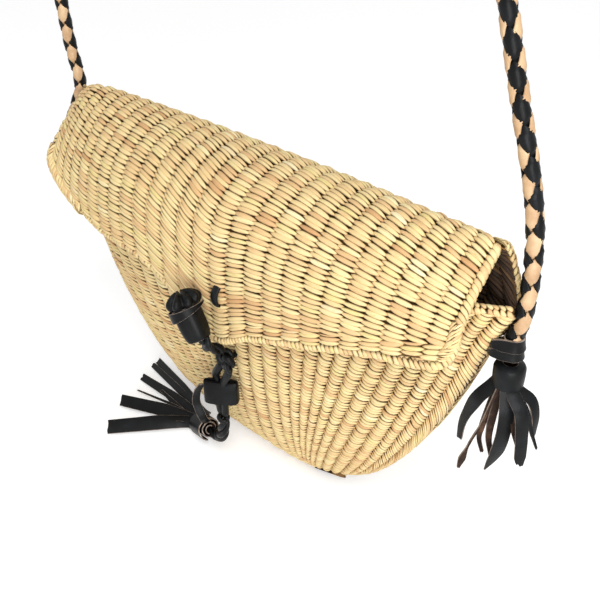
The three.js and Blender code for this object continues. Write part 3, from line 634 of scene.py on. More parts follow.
def ribX(rimX, z):
    # ribs fan in towards the keel, and the outer ones run beside it
    half = pouchForm["halfLength"]
    depth = np.clip((pouchForm["rimHeight"] - z) / (pouchForm["rimHeight"] - pouchForm["keelBottom"]), 0, 1)
    share, most = pouchForm["rightLean"]
    begin, length, more = pouchForm["outerLean"]
    right = np.minimum(share * rimX, most) + more * smoothStep((rimX - begin) / length)
    farthest, over = pouchForm["leftLean"]
    lean = np.where(rimX < 0, farthest * np.tanh(rimX / over), right)
    fanned = rimX - lean * depth ** pouchForm["ribLeanPower"]
    t = np.sign(rimX) * (1 - depth) ** (1 / pouchForm["keelPower"])
    place = np.abs(rimX / half)
    beside = (half * t + pouchForm["keelShift"] * (1 - t ** 2)) * place
    outer = smoothStep((place - pouchForm["besideFrom"]) / (1 - pouchForm["besideFrom"]))
    return (1 - outer) * fanned + outer * beside


def stakePlaces(half):
    # four lines to a stake over the back wall or the flap, closer together at the ends
    s = np.linspace(-1, 1, pouchForm["backColumns"] * 4 + 1)
    crowd = pouchForm["endCrowding"]
    return half * ((1 + crowd) * s - crowd * s ** 3)


def frontPlaces():
    width = 164      # draws the shares out so that the route through them and the places is smooth
    route, _ = smoothRoute([(share * width, x, 0) for share, x in pouchForm["frontStakes"]], 1)
    return np.interp(np.linspace(0, width, pouchForm["frontColumns"] * 4 + 1), route[:, 0], route[:, 1])


def ribCurves(rimX, side):
    # from the rim down to the keel along each rib; side is -1 on the front and 1 on the back
    rim = pouchForm["rimHeight"]
    low, high = np.full_like(rimX, pouchForm["keelBottom"]), np.full_like(rimX, rim)
    for _ in range(40):
        middle = (low + high) / 2
        under = keelHeight(ribX(rimX, middle)) > middle
        low, high = np.where(under, middle, low), np.where(under, high, middle)
    turn = np.linspace(0, math.pi / 2, 90)[None, :]
    z = rim - (rim - high[:, None]) * np.sin(turn) ** pouchForm["sectionPower"]
    x = ribX(rimX[:, None], z)
    sideways, upwards = endStretch(x, z)
    return np.stack([x + sideways, side * hullY(x, z), z + upwards], 2)


def bezier(first, second, third, last, v):
    u = 1 - v
    return first * u ** 3 + 3 * second * v * u ** 2 + 3 * third * v ** 2 * u + last * v ** 3


def sheetOutside(y, z):
    # from the middle of the sheet to its outside
    alongY, alongZ = np.gradient(y, axis=1), np.gradient(z, axis=1)
    size = np.maximum(np.hypot(alongY, alongZ), 1e-9)
    half = panelForm["sheet"] / 2
    return y + half * alongZ / size, z - half * alongY / size


def panelCurves(rimX):
    # from the rim's height up the back panel and over the ridge
    v = np.linspace(0, 1, 200)[None, :]
    z = bezier(*panelForm["heights"], v)
    risen = np.clip((z - pouchForm["rimHeight"]) / panelForm["rise"], 0, 1)
    x = rimX[:, None] * (1 - (1 - panelForm["topHalf"] / panelForm["rimHalf"]) * risen)
    wall = planDepth(x) - panelForm["inset"]
    nearRidge = panelForm["ridgeY"] + 0.35 * (wall - panelForm["ridgeY"]) + 3
    sideways, upwards = endStretch(x, z)
    y, outside = sheetOutside(bezier(wall, wall, nearRidge, panelForm["endY"], v), z + 0 * x)
    first = int(np.argmax(z[0] > pouchForm["rimHeight"] + 1))
    return np.stack([x + sideways, y, outside + upwards], 2)[:, first::4]


def sideLimit(points, side):
    # a face's strands stay on their side of the keel and above the table
    y = side * np.maximum(side * points[:, 1], 0.2)
    return np.stack([points[:, 0], y, np.maximum(points[:, 2], 0.3)], 1)


def makePouch():
    front = makeCloth(ribCurves(frontPlaces(), -1), 91)
    rimX = stakePlaces(pouchForm["halfLength"] - 0.4)
    back = makeCloth(np.concatenate([ribCurves(rimX, 1)[:, ::-1], panelCurves(rimX)], 1), 121)
    onFront, onBack = dict(pouchWeave, side=-1), dict(pouchWeave, side=1)
    wide, narrow = pouchForm["frontColumns"], pouchForm["backColumns"]
    weave("pouchFrontWeave", "pouch", front, wide, onFront, 11, ["pouch_basket"])
    weave("pouchBackWeave", "pouch", back, narrow, onBack, 12)
    # the linings and their sheets end short of the keel
    for name, cloth, columns, look, span, keptDown in (
            ("pouchFrontLining", front, wide, onFront, (0.004, 0.965), (-1, 0.92)),
            ("pouchBackLining", back, narrow, onBack, (0.03, 0.996), (0.06, 2))):
        makeBacking(name + "Sheet", "pouch", cloth, 60, span, look["side"])
        weave(name, "pouch", cloth, columns, dict(look, keptDown=keptDown, **insideWeave), 13)


makePouch()


# Flap: the back wall's weave runs on over the ridge, with a border and a rolled edge at its foot
flapForm = {
    "ridgeHeight": 194,
    "ridgeY": 4.55,
    "halfLength": 150,
    "reachMiddle": 45.5,
    "reachEnd": 33.5,
    "roundHeight": 70,
    "planPower": 2.5,
    "outline": [(-150, 156), (-127.5, 141), (-90, 130), (-49.5, 129), (-24, 120.5), (12, 101.5),
                (39, 114.5), (79.5, 129), (112.5, 140), (150, 150)],
    "border": 9,
    "edge": 1.9,            # radius of the rolled edge
}
flapWeave = dict(pouchWeave, rowPitch=2.65, reach=1.3, start=0.1, slant=1.95, bow=0.0, fullness=1.24,
                 slantShare=((0, 0.3, 0.6, 1), (0.1, 0.42, 0.8, 1), (0.1, 0.1, 0.3, 0.9)), thickness=1.9,
                 taperPower=2.4, taperRound=0.85, ribHeight=1.2, ribShare=(1.6, 0.6), oneSidedShade=0)
borderWeave = dict(flapWeave, rowPitch=3.0, slant=0.2, slantShare=evenSlant, ribHeight=0.8, ribShare=(1, 1),
                   reach=1.15, taperPower=3.0, thickness=2.2, top=1.1)
edgeWeave = dict(borderWeave, stake=3, rowPitch=2.75, slant=-1.0, ribHeight=0.0, reach=1.1, taperPower=3.2,
                 fullness=1.25, thickness=1.8, top=0.8)
tuftWeave = dict(edgeWeave, rowPitch=1.9, slant=4.5, thickness=1.5, reach=1.5, fullness=1.5, taperPower=1.8)
bundleWeave = dict(tuftWeave, rowPitch=3.0, slant=4.0, thickness=2.2)
twistWeave = dict(edgeWeave, rowPitch=3.0, slant=1.3, thickness=1.3, top=0.6)
# frayed bundles of straw at the flap's corners: x and z along them, outward direction, radius, weave, seed
flapCorners = {
    "flapTuft": ([(149.8, 167), (151, 161), (150.4, 155.5), (147.6, 151.4)],
                 (0.2, -1, 0.2), 2.4, tuftWeave, 25),
    "flapBundle": ([(-149, 164), (-149.5, 156), (-143, 150.5), (-128, 142.5), (-108, 135.5)],
                   (-0.2, -1, 0.2), 2.8, bundleWeave, 26),
}


def flapY(x, z):
    drop = np.clip((flapForm["ridgeHeight"] - z) / flapForm["roundHeight"], 0, 1)
    middle = flapForm["reachMiddle"] * np.sqrt(1 - (1 - drop) ** 4)
    end = flapForm["reachEnd"] * (1 - (1 - np.minimum(drop / 0.7, 1)) ** 1.6)
    share = np.maximum(1 - np.abs(x / flapForm["halfLength"]) ** flapForm["planPower"], 0)
    return flapForm["ridgeY"] - share * middle - (1 - share) * end


def flapCurves(x, foot, behind=0):
    # on the outside of the flap from the ridge down to the foot, or from a little behind the ridge
    top = flapForm["ridgeHeight"]
    z = top - (top - foot[:, None]) * np.linspace(0, 1, 90)[None, :] ** 1.7
    wide = x[:, None] + 0 * z
    curves = np.stack([wide, *sheetOutside(flapY(wide, z), z)], 2)
    if not behind:
        return curves
    back = [(0, behind * share, -0.15 * behind * share) for share in (1, 0.75, 0.5, 0.25)]
    return np.concatenate([curves[:, :1] + np.array(back), curves], 1)


def flapRim():
    # down the left side, along the foot and up the right side, both ends turned back over the ridge
    half, top = flapForm["halfLength"], flapForm["ridgeHeight"] - 1.5
    left, right = flapForm["outline"][0][1], flapForm["outline"][-1][1]
    corners = [(-half, top), (-half, (top + left) / 2)] + flapForm["outline"]
    corners += [(half, (top + right) / 2), (half, top)]
    line, _ = smoothRoute([(x, 0, z) for x, z in corners], 2)
    line[:, 1] = flapY(line[:, 0], line[:, 2])
    over = np.array([(0, 5.2, -1.6), (0, 3.4, 0.2), (0, 1.6, 0.8)])
    return np.concatenate([line[0] + over, line, line[-1] + over[::-1]])


def borderCurves(curves, foot):
    # the lowest stretch of each of the flap's curves
    lines = []
    for curve, low in zip(curves, foot):
        z = np.linspace(low + flapForm["border"], low + 0.5, 30)
        x, y, height = curve[np.argsort(curve[:, 2])].T
        lines.append(np.stack([0 * z + x[0], np.interp(z, height, y), z], 1))
    return lines


def tubeCloth(route, outward, radius, fromAngle, toAngle):
    # the skin of a tube along a route; angles in degrees run from outward round to the side
    heading = unit(np.gradient(route, axis=0))
    out = unit(outward - heading * np.sum(outward * heading, axis=1)[:, None])
    side = np.cross(heading, out)
    turns = np.radians(np.linspace(fromAngle, toAngle, 25))
    curves = [route + radius * (math.cos(t) * out + math.sin(t) * side) for t in turns]
    return makeCloth(curves, len(route))


def makeFlap():
    columns = pouchForm["backColumns"]
    x = stakePlaces(flapForm["halfLength"] - 1)
    line, _ = smoothRoute([(x, 0, z) for x, z in flapForm["outline"]], 2)
    foot = np.interp(x, line[:, 0], line[:, 2])
    cloth = makeCloth(flapCurves(x, foot + flapForm["border"] - 2.5, 2.5), 91)
    weave("flapWeave", "flap", cloth, columns, flapWeave, 21, ["flap_panel"])
    curves = flapCurves(x, foot)
    whole = makeCloth(curves, 91)
    makeBacking("flapCore", "flap", whole, 40)
    weave("flapLining", "flap", whole, columns, dict(flapWeave, **insideWeave), 22)
    weave("flapBorder", "flap", makeCloth(borderCurves(curves, foot), 31), columns, borderWeave, 23)
    edge = tubeCloth(flapRim(), (0, -1, 0.2), flapForm["edge"], -80, 190)
    weave("flapEdge", "flap", edge, 1, edgeWeave, 24, ["flap_edge_braid"])
    for name, (corners, outward, radius, look, seed) in flapCorners.items():
        route, _ = smoothRoute([(x, 0, z) for x, z in corners], 1.5)
        route[:, 1] = flapY(route[:, 0], route[:, 2]) - 1.2
        weave(name, "flap", tubeCloth(route, outward, radius, -120, 120), 2, look, seed)


# Rims of the pouch: a round braid on the front's rim, and a thin one up each side of the back wall
rims = {
    "front": {"radius": 1.8, "inset": 2.5, "short": 3, "above": 1.2, "sunk": 0.7},
    "back": {"radius": 1.1, "inset": 1.4, "short": 2},
}


def makeRims():
    form = rims["front"]
    end = pouchForm["halfLength"] - form["short"]
    x = np.linspace(-end, end, 170)
    level = np.full_like(x, pouchForm["rimHeight"] + form["above"])
    sideways, upwards = endStretch(x, level)
    line = np.stack([x + sideways, form["inset"] - planDepth(x), level + upwards - form["sunk"]], 1)
    cloth = tubeCloth(line, (0, -1, 1), form["radius"], -170, 170)
    weave("frontRim", "pouch", cloth, 2, dict(edgeWeave, slant=1.0), 31, ["front_rim_braid"])
    form = rims["back"]
    for side, name, node in ((-1, "backEdgeLeft", "back_edge_braid_left"),
                             (1, "backEdgeRight", "back_edge_braid_right")):
        line = panelCurves(np.array([side * (pouchForm["halfLength"] - form["short"])]))[0]
        cloth = tubeCloth(line - (0, form["inset"], 0), (side, 0, 0.3), form["radius"], -170, 170)
        weave(name, "pouch", cloth, 2, twistWeave, 32, [node])


makeFlap()
makeRims()


# Leather pieces, cut from one hide
def finishHide(name, body, thickness, nets, replaced, looks=None):
    # sheets through nets, their grain side where the first direction crossed with the second points, then
    # their thickness, with the cut edge round them and the flesh side inside
    merged = bmesh.new()
    for net, look in zip(nets, looks or [0] * len(nets)):
        shape = netShape(net)
        bmesh.ops.remove_doubles(shape, verts=shape.verts, dist=1e-6)
        addShape(merged, shape, look)
    piece = finishPiece(name, merged, hide, body, [replaced])
    wall = piece.modifiers.new("thickness", "SOLIDIFY")
    wall.thickness = thickness / 1000
    wall.offset = -1
    wall.material_offset = 2
    wall.material_offset_rim = 1
    wear = piece.modifiers.new("wear", "BEVEL")
    wear.width = 0.0002
    wear.segments = 1
    wear.limit_method = "ANGLE"
    wear.harden_normals = True


def finishLaces(name, body, shapes, replaced=()):
    merged = bmesh.new()
    for shape in shapes:
        addShape(merged, shape)
    finishPiece(name, merged, hide, body, replaced)


def stripNet(points, outward, widths, curl=0.0, ragged=0.0, rng=None, step=2.0):
    # a flat strip along a route, its grain side to outward; widths are (share, width) pairs
    path, along = smoothRoute(points, step)
    sides, ups = carriedFrames(path, np.cross(outward, path[1] - path[0]))
    half = np.interp(along / along[-1], *zip(*widths)) / 2
    offsets = np.linspace(-1, 1, 5)
    net = path[:, None] + sides[:, None] * (offsets * half[:, None])[..., None]
    net = net - ups[:, None] * (curl * offsets ** 2 * half[:, None])[..., None]
    net[-1] += unit(path[-1] - path[-2]) * rng.uniform(-1, 1, 5)[:, None] * ragged
    return net


def turnedNet(profile, middle, wobble, phase, tilt=0.0):
    # a sheet turned round an upright axis; the profile's (radius, height) points run upwards
    turn = np.linspace(0, 2 * math.pi, 41)[:, None]
    radius, height = np.array(profile).T[:, None]
    radius = radius * (1 + wobble * np.sin(3 * turn + phase))
    height = height + 0 * radius
    height = height + tilt * np.cos(turn - phase) * (height - height.min()) / np.ptp(height)
    net = np.stack([middle[0] + radius * np.cos(turn), middle[1] + radius * np.sin(turn), height], 2)
    net[-1] = net[0]
    return net


def laceShape(points, width, thickness, firstSide=(1, 0, 0), step=1.5, corners=8, ends=0.35):
    # a round or oval lace with its ends drawn in
    path, along = smoothRoute(points, step)
    sides, ups = carriedFrames(path, firstSide)
    flat, tall = ovalOutline(len(path), corners, width, thickness)
    near = np.clip(np.minimum(along, along[-1] - along) / (width / 2), 0, 1)
    taper = (ends + (1 - ends) * np.sqrt(1 - (1 - near) ** 2))[:, None]
    return skinShape(path[:, None] + sides[:, None] * (flat * taper)[..., None]
                     + ups[:, None] * (tall * taper)[..., None])


def twistedLaces(twist):
    # laces that turn round one another along a route
    route, _ = smoothRoute(twist["route"], twist["step"])
    sides, ups = carriedFrames(route, twist["firstSide"])
    shapes = []
    for phase in twist["phases"]:
        turn = (np.linspace(0, 2 * twist["turns"] * math.pi, len(route)) + phase)[:, None]
        lay = route + twist["radius"] * (np.cos(turn) * sides + np.sin(turn) * ups)
        lay[:, 2] = np.maximum(lay[:, 2], 2.6)      # clear of the table
        shapes.append(laceShape(lay[::2], *twist["lace"]))
    return shapes


# Collars that hold the strap's ends, their lashings, and the side tassels under them
collar = {
    "x": 166.4,
    "profile": [(1.2, 142.3), (2.2, 144), (4.2, 146.4), (4.5, 152), (4.6, 153.4), (4.7, 156.2)],
    "thickness": 0.8,
    "wobble": (0.02, 0.6),     # share of the radius, and its phase
    "tilt": 0.5,
}
lashing = {
    "heights": (153.4, 148.6),
    "radius": 5.1,
    "thickness": 1.1,
    "lean": 0.16,      # the lower edge of a lashing stands out over the next one
    "front": [(156.8, -4.4, -3.2), (159, -6.2, -1.6), (162.4, -6.3, -0.5)],
    "back": [(162.4, 6.2, -0.5), (159, 5.8, -1.2), (156.8, 4.4, -2)],
    "widths": [(0, 2.6), (0.1, 4.4), (0.22, 6.0), (0.8, 6.0), (1, 3.0)],
    "curl": -0.06,
    "ragged": 1.2,
}
cuff = {
    "profile": [(7.0, 129.5), (7.25, 132), (7.4, 136), (7.35, 139.4), (6.8, 140.6), (5.2, 141.5),
                (3.4, 141.9)],
    "thickness": 1.4,
    "mouth": 129.4,
    "wobble": (0.012, 1.4),
    "core": 4.6,          # the strips leave the cuff at this radius
    "fringe": 1.0,        # their thickness
    "curl": 0.12,
}
# Right tassel: outward direction in degrees, side that faces out, points, widths and raggedness
rightStrips = [
    (-100, 0, [(161.2, -5.5, 128.4), (157.3, -9, 121.9), (152.4, -9, 109), (149.9, -8, 99.7),
               (148.9, -7, 89.2)], [(0, 6.4), (0.4, 6.8), (0.6, 5), (1, 3.2)], 0.6),
    (130, 0, [(164.5, -6, 127.5), (161.4, -9.5, 108.9), (157.4, -10, 96.2), (154.1, -10, 83.4),
              (151.6, -9, 73.3)], [(0, 1.6), (0.72, 1.3), (0.86, 3.9), (1, 1.6)], 0.4),
    (120, 0, [(162.8, -3, 127.6), (160.9, -4, 115.1), (158.8, -4, 101.2), (157.7, -3, 92),
              (160.2, -3, 84.9)], [(0, 3), (0.6, 3.2), (1, 2)], 0.5),
    (134, 0, [(165, -4, 128.3), (164.5, -5, 117.8), (163.4, -5, 104.7), (163.3, -4, 95), (165.8, -4, 86)],
     [(0, 3.4), (0.5, 4), (1, 2.4)], 0.6),
    (-46, 0, [(169.4, -4.6, 128.6), (172.2, -7.6, 119), (172.6, -8.6, 106.8), (170.7, -8.4, 94.3),
              (165.6, -8, 79.6)], [(0, 6.4), (0.25, 7), (0.7, 6.8), (0.88, 3.8), (1, 0.8)], 0.4),
    (134, 1, [(169.8, -2, 128.4), (173.1, -4, 119.9), (175.7, -4, 109.2), (178.5, -4, 99)],
     [(0, 4), (0.7, 4.4), (1, 1.6)], 0.8),
    (-40, 0, [(171.6, -3.4, 128.6), (178.6, -6.4, 122.8), (181.6, -7.6, 108.4), (182.6, -7.5, 93.8)],
     [(0, 6.6), (0.4, 6.6), (0.92, 5.8), (1, 3.4)], 1.4),
    (-16, 0, [(171.8, 0.6, 128.8), (178.4, 3, 124.2), (181.6, 3, 116.6), (182, 3, 104.6)],
     [(0, 6), (0.5, 5.4), (1, 3)], 0.8),
    (-30, 0, [(172, -1, 128.2), (178.4, -1, 121), (181.7, -1, 111.8), (186.4, -1, 101.8)],
     [(0, 2.6), (0.6, 2.4), (1, 1.2)], 0.3),
    (60, 0, [(169.6, 4.2, 128.4), (173.4, 8.8, 112), (174.6, 10, 92)], [(0, 4.6), (0.7, 5), (1, 2.6)], 1.0),
    (100, 0, [(165.6, 4.6, 128.4), (164.6, 9.6, 110), (164.2, 11, 86)],
     [(0, 4.6), (0.7, 5), (1, 2.8)], 1.0),
]
# Left tassel: how far outwards, back and down each tip lies from the middle of the cuff's mouth
leftTips = [(-4, 6, 34), (1, 11, 38), (7, 14, 36), (12, 17, 32), (5, 19, 35), (-2, 15, 33), (10, 8, 38),
            (3, 3, 36), (8, -3, 33)]


def leftStrip(tip):
    across, back, down = tip
    reach = np.hypot(across, back)
    out = np.array((across, back, 0)) / reach
    centre = np.array((-collar["x"], 0, cuff["mouth"]))
    points = [centre + out * cuff["core"] - (0, 0, 1),
              centre + out * (4 + reach * 0.4) - (0, 0, down * 0.42),
              centre + (across, back, -down)]
    return math.degrees(math.atan2(back, across)), 0, points, [(0, 4.6), (0.7, 5), (1, 2.8)], 1.0


def tasselNet(strip, middle, rng):
    # from inside the cuff down to the strip's tip
    degrees, _, points, widths, ragged = strip
    out = (math.cos(math.radians(degrees)), math.sin(math.radians(degrees)), 0)
    leaving = unit((np.array(points[0]) - middle) * (1, 1, 0))
    inside = middle + (0, 0, cuff["mouth"] + 4) + leaving * (cuff["core"] - 1)
    return stripNet([inside] + points, out, widths, cuff["curl"], ragged, rng)


def lashingNet(side, height, rng):
    # a flat lace round the collar, with its torn ends in the straw
    turns = np.radians(np.linspace(-80, 80, 9))
    radius = lashing["radius"]
    around = [(collar["x"] + radius * math.cos(t), radius * math.sin(t), 0) for t in turns]
    points = [(side * x, y, height + z) for x, y, z in lashing["front"] + around + lashing["back"]]
    net = stripNet(points, (0, -1, 0), lashing["widths"], lashing["curl"], lashing["ragged"], rng, 1.2)
    if side < 0:
        net = net[:, ::-1]
    out = unit(net * (1, 1, 0) - (side * collar["x"], 0, 0))
    return net - out * ((net[..., 2] - height) * lashing["lean"])[..., None]


def makeCollars():
    rng = np.random.default_rng(41)
    for side, word in ((1, "right"), (-1, "left")):
        name, body = word.capitalize(), word + "_tassel"
        middle = np.array((side * collar["x"], 0, 0))
        net = turnedNet(collar["profile"], middle, *collar["wobble"], collar["tilt"])
        finishHide("collar" + name, "pouch", collar["thickness"], [net], "strap_collar_" + word)
        for place, height in zip(("upper", "lower"), lashing["heights"]):
            net = lashingNet(side, height, rng)
            finishHide(place + "Lashing" + name, "pouch", lashing["thickness"], [net],
                       place + "_lashing_" + word)
        net = turnedNet(cuff["profile"], middle, *cuff["wobble"])
        finishHide("tasselCuff" + name, body, cuff["thickness"], [net], "side_tassel_band_" + word)
        strips = rightStrips if side > 0 else [leftStrip(tip) for tip in leftTips]
        nets = [tasselNet(strip, middle, rng) for strip in strips]
        finishHide("tasselStrips" + name, body, cuff["fringe"], nets, "side_tassel_fringe_" + word,
                   [strip[1] for strip in strips])


makeCollars()
print("collars and side tassels are made")


# Toggle: a strip rolled into a barrel, wrapped at its crown end, with a crown of gathered folds
toggle = {
    "centre": (10.7, -54.3, 117.2),
    "tilt": 60,
    "length": 20.5,
    "radius": 8.8,
    "inner": 3.2,
    "turns": 1.9,
    "end": 152,              # the roll's outer edge lies on the front, low on the left
    "thickness": 1.7,
    "drawn": 0.2,            # the far end is drawn in by this share
    "folds": 0.42,           # the rolled strip isn't quite round
    "wrapAngles": (-60, 215),
    "wrapThickness": 0.7,
    "stalk": [(0, 0, 0), (-4, 7.5, -5.5), (-5, 15, -6.5)],      # from the toggle's centre
}
crown = {
    "radius": 9.6,
    "length": 10.4,
    "sunk": 1.6,                  # how far inside the barrel it starts
    "folds": 8,
    "twist": 0.9,
    "foldRadius": (0.74, 0.32),   # share of the radius in a fold, and what the top of a lobe adds
    "foldLength": (0.72, 0.3),    # the same for the length
    "uneven": 0.05,
}


def toggleAxes():
    lean = math.radians(toggle["tilt"])
    along = np.array((math.cos(lean), 0, -math.sin(lean)))
    upper = np.array((math.sin(lean), 0, math.cos(lean)))
    return along, upper, np.array((0, -1.0, 0))


def rolledNet(centre, axes, radii, angles, share, low, high, fold, deep, drawn=0.0):
    # a sheet rolled round an axis; share runs from its inner to its outer end, low and high are its edges
    along, first, second = axes
    turn = np.radians(angles[0] + (angles[1] - angles[0]) * share)
    radius = radii[0] + (radii[1] - radii[0]) * share + fold * np.sin(5 * turn) * share
    down = np.linspace(0, 1, deep)[None, :]
    v = (low + 0 * share)[:, None] + (high - low + 0 * share)[:, None] * down
    out = np.cos(turn)[:, None] * first + np.sin(turn)[:, None] * second
    radius = radius[:, None] * (1 - drawn * down ** 5)
    return np.asarray(centre) + out[:, None] * radius[..., None] + np.asarray(along) * v[..., None]


def crownShape(along, upper, front):
    rings, corners = 16, 60
    height = np.linspace(0, 1, rings)[:, None]
    turn = np.linspace(0, 2 * math.pi, corners, endpoint=False)[None, :]
    swell = crown["radius"] * np.sin((0.14 + 0.84 * height) * math.pi) ** 0.5
    lobes = np.abs(np.sin(crown["folds"] * turn / 2 + crown["twist"] * height)) ** 0.7
    least, more = crown["foldRadius"]
    radius = swell * (least + more * lobes + crown["uneven"] * np.sin(5 * turn + 5 * height))
    least, more = crown["foldLength"]
    rise = toggle["length"] / 2 - crown["sunk"] + height * crown["length"] * (least + more * lobes)
    out = np.cos(turn)[..., None] * upper + np.sin(turn)[..., None] * front
    return skinShape(toggle["centre"] + out * radius[..., None] - along * rise[..., None])


def makeToggle():
    axes = toggleAxes()
    half, radius = toggle["length"] / 2, toggle["radius"]
    share = np.linspace(0, 1, 90)
    angles = (toggle["end"] - 360 * toggle["turns"], toggle["end"])
    net = rolledNet(toggle["centre"], axes, (toggle["inner"], radius), angles, share, -half,
                    half - 1.6 * share, toggle["folds"], 16, toggle["drawn"])
    finishHide("toggleBarrel", "flap", toggle["thickness"], [net], "toggle_barrel")
    share = np.linspace(0, 1, 60)
    foot = -half + 1 + 5 * np.sin(math.pi * share ** 1.5) ** 0.9
    net = rolledNet(toggle["centre"], axes, (radius + 1.25, radius + 1.5), toggle["wrapAngles"], share,
                    -half + 0.2, foot, 0.15, 8)
    finishHide("toggleWrap", "flap", toggle["wrapThickness"], [net], "toggle_wrap_band")
    stalk = laceShape(np.array(toggle["centre"]) + toggle["stalk"], 3.6, 3.6)
    finishLaces("toggleCrown", "flap", [crownShape(*axes), stalk], ["toggle_crown_knot"])


# Closure: the twisted loop, the knot it slips over, the lanyard's two strands and the flap's sewn thong
loop = {
    "start": (2.6, 0, 1.3),       # beside the barrel's middle line, 3 mm inside its end
    "end": [(15.9, -49.7, 101.5), (16.9, -43.8, 96.6), (16.3, -41.4, 93.8)],
    "step": 0.8,
    "firstSide": (0, -1, 0),
    "phases": (0, math.pi),
    "turns": 1.25,
    "radius": 1.55,
    "lace": (4.4, 3.2),
}
closureKnot = {
    "centre": (16, -38.4, 86.2),
    "radius": 3.5,
    "swing": 1.6,         # how far the lace goes in and out as it runs round
    "depth": 1.9,
    "tall": 1.12,
    "lace": (4.0, 2.7),
    "end": [(18, -40.5, 86), (20.4, -41.4, 82.6), (22, -41.2, 80.2)],
    "endLace": (3.0, 1.6),
    "stalk": [(16, -38, 86), (16, -28, 86)],
    "stalkLace": (3.4, 3.4),
}
lanyard = {
    "left": (11.8, 8.8, 5.7, 6.4, 6.4, 7.2),          # x down the strand
    "right": (17, 16.6, 13.5, 11.6, 11.6, 10.8),
    "line": [(-37.6, 81.5), (-38.4, 76.5), (-38.5, 70.5), (-38.5, 66), (-38.5, 53), (-38.5, 41)],
    "width": 5.2,
    "thickness": 4,
}
stitchRoute = [(19.8, -38.6, 138), (19.8, -43, 138.9), (19.8, -45, 137.4), (19.4, -46, 133.5),
               (19, -45.2, 129.2), (18.9, -43.4, 127.6), (18.9, -38.6, 128)]


def makeClosure():
    along = toggleAxes()[0]
    start = np.array(toggle["centre"]) + along * (toggle["length"] / 2 - 3) + loop["start"]
    laces = twistedLaces(dict(loop, route=[start, start + along * 4.5] + loop["end"]))
    finishLaces("toggleLoop", "flap", laces, ["toggle_loop"])
    t = np.linspace(0, 2 * math.pi, 60)
    form = closureKnot
    ring = form["radius"] + form["swing"] * np.cos(3 * t)
    knot = [ring * np.cos(2 * t), -form["depth"] * np.sin(3 * t), ring * form["tall"] * np.sin(2 * t)]
    finishLaces("closureKnot", "pouch", [
        laceShape(np.stack(knot, 1) + form["centre"], *form["lace"], (0, 0, 1), 1.2, ends=0.9),
        laceShape(form["end"], *form["endLace"], ends=0.1),
        laceShape(form["stalk"], *form["stalkLace"])], ["closure_knot"])
    for word in ("left", "right"):
        route = [(x, y, z) for x, (y, z) in zip(lanyard[word], lanyard["line"])]
        lace = laceShape(route, lanyard["width"], lanyard["thickness"], step=1.2)
        finishLaces("lanyardStrand" + word.capitalize(), "pouch", [lace], ["lanyard_strand_" + word])
    finishLaces("flapStitch", "flap", [laceShape(stitchRoute, 5.2, 2.4, step=1.0, corners=10)],
                ["flap_thong_stitch"])


makeToggle()
makeClosure()
print("toggle and lanyard are made")

# Sliding bead: a strip wrapped flat round the strands, its end at the front and its top pressed together
bead = {
    "centre": (9, -38.5, 59.5),
    "halfWidth": 9.6,
    "halfDepth": 4.2,
    "halfHeight": 6.75,
    "thickness": 1.3,
    "wrap": (-0.95, 1.12),     # where the strip begins and ends, by about half a turn from its front
    "layer": 0.13,             # how much wider the section is at the strip's end
    "square": 0.55,            # below 1 the section is boxy
    "fillingSquare": 0.6,
    "turned": 34,              # its broad face is turned towards the bag's right-hand end
    # heights by halfHeight, with the shares of the width and the depth there
    "heights": (-1, -0.6, -0.2, 0.2, 0.6, 0.95, 1.1, 1.14, 0.7),
    "narrow": (1, 1, 1, 1, 1, 0.99, 0.98, 0.94, 0.8),
    "folded": (1, 1, 0.97, 0.92, 0.84, 0.7, 0.45, 0.15, 0.05),
}


def beadOutline(turn, square):
    x, y = (np.sign(f) * np.abs(f) ** square for f in (np.cos(turn), np.sin(turn)))
    return x * bead["halfWidth"], y * bead["halfDepth"]


def turnBead(x, y, z):
    turn = math.radians(bead["turned"])
    return np.stack([x * math.cos(turn) - y * math.sin(turn), x * math.sin(turn) + y * math.cos(turn), z],
                    2) + bead["centre"]


def makeBead():
    turn = (np.linspace(*bead["wrap"], 80) * math.pi * 1.06 - math.pi / 2)[:, None]
    layer = 1 + bead["layer"] * (turn - turn[0]) / (turn[-1] - turn[0])
    x, y = beadOutline(turn, bead["square"])
    heights, narrow, folded = (np.array(bead[part])[None, :] for part in ("heights", "narrow", "folded"))
    heights = heights * bead["halfHeight"] + 0.35 * np.sin(turn)
    net = turnBead(x * layer * narrow, y * layer * folded, heights)
    finishHide("sliderBead", "bead", bead["thickness"], [net], "slider_bead")
    turn = np.linspace(0, 2 * math.pi, 28, endpoint=False)[None, :]
    height = np.array((-1, -0.9, 0.9, 1))[:, None] * (bead["halfHeight"] - 0.7)
    size = np.array((0.7, 0.84, 0.6, 0.3))[:, None]
    x, y = beadOutline(turn, bead["fillingSquare"])
    finishLaces("beadFilling", "bead", [skinShape(turnBead(x * size, y * size, height + 0 * turn))])


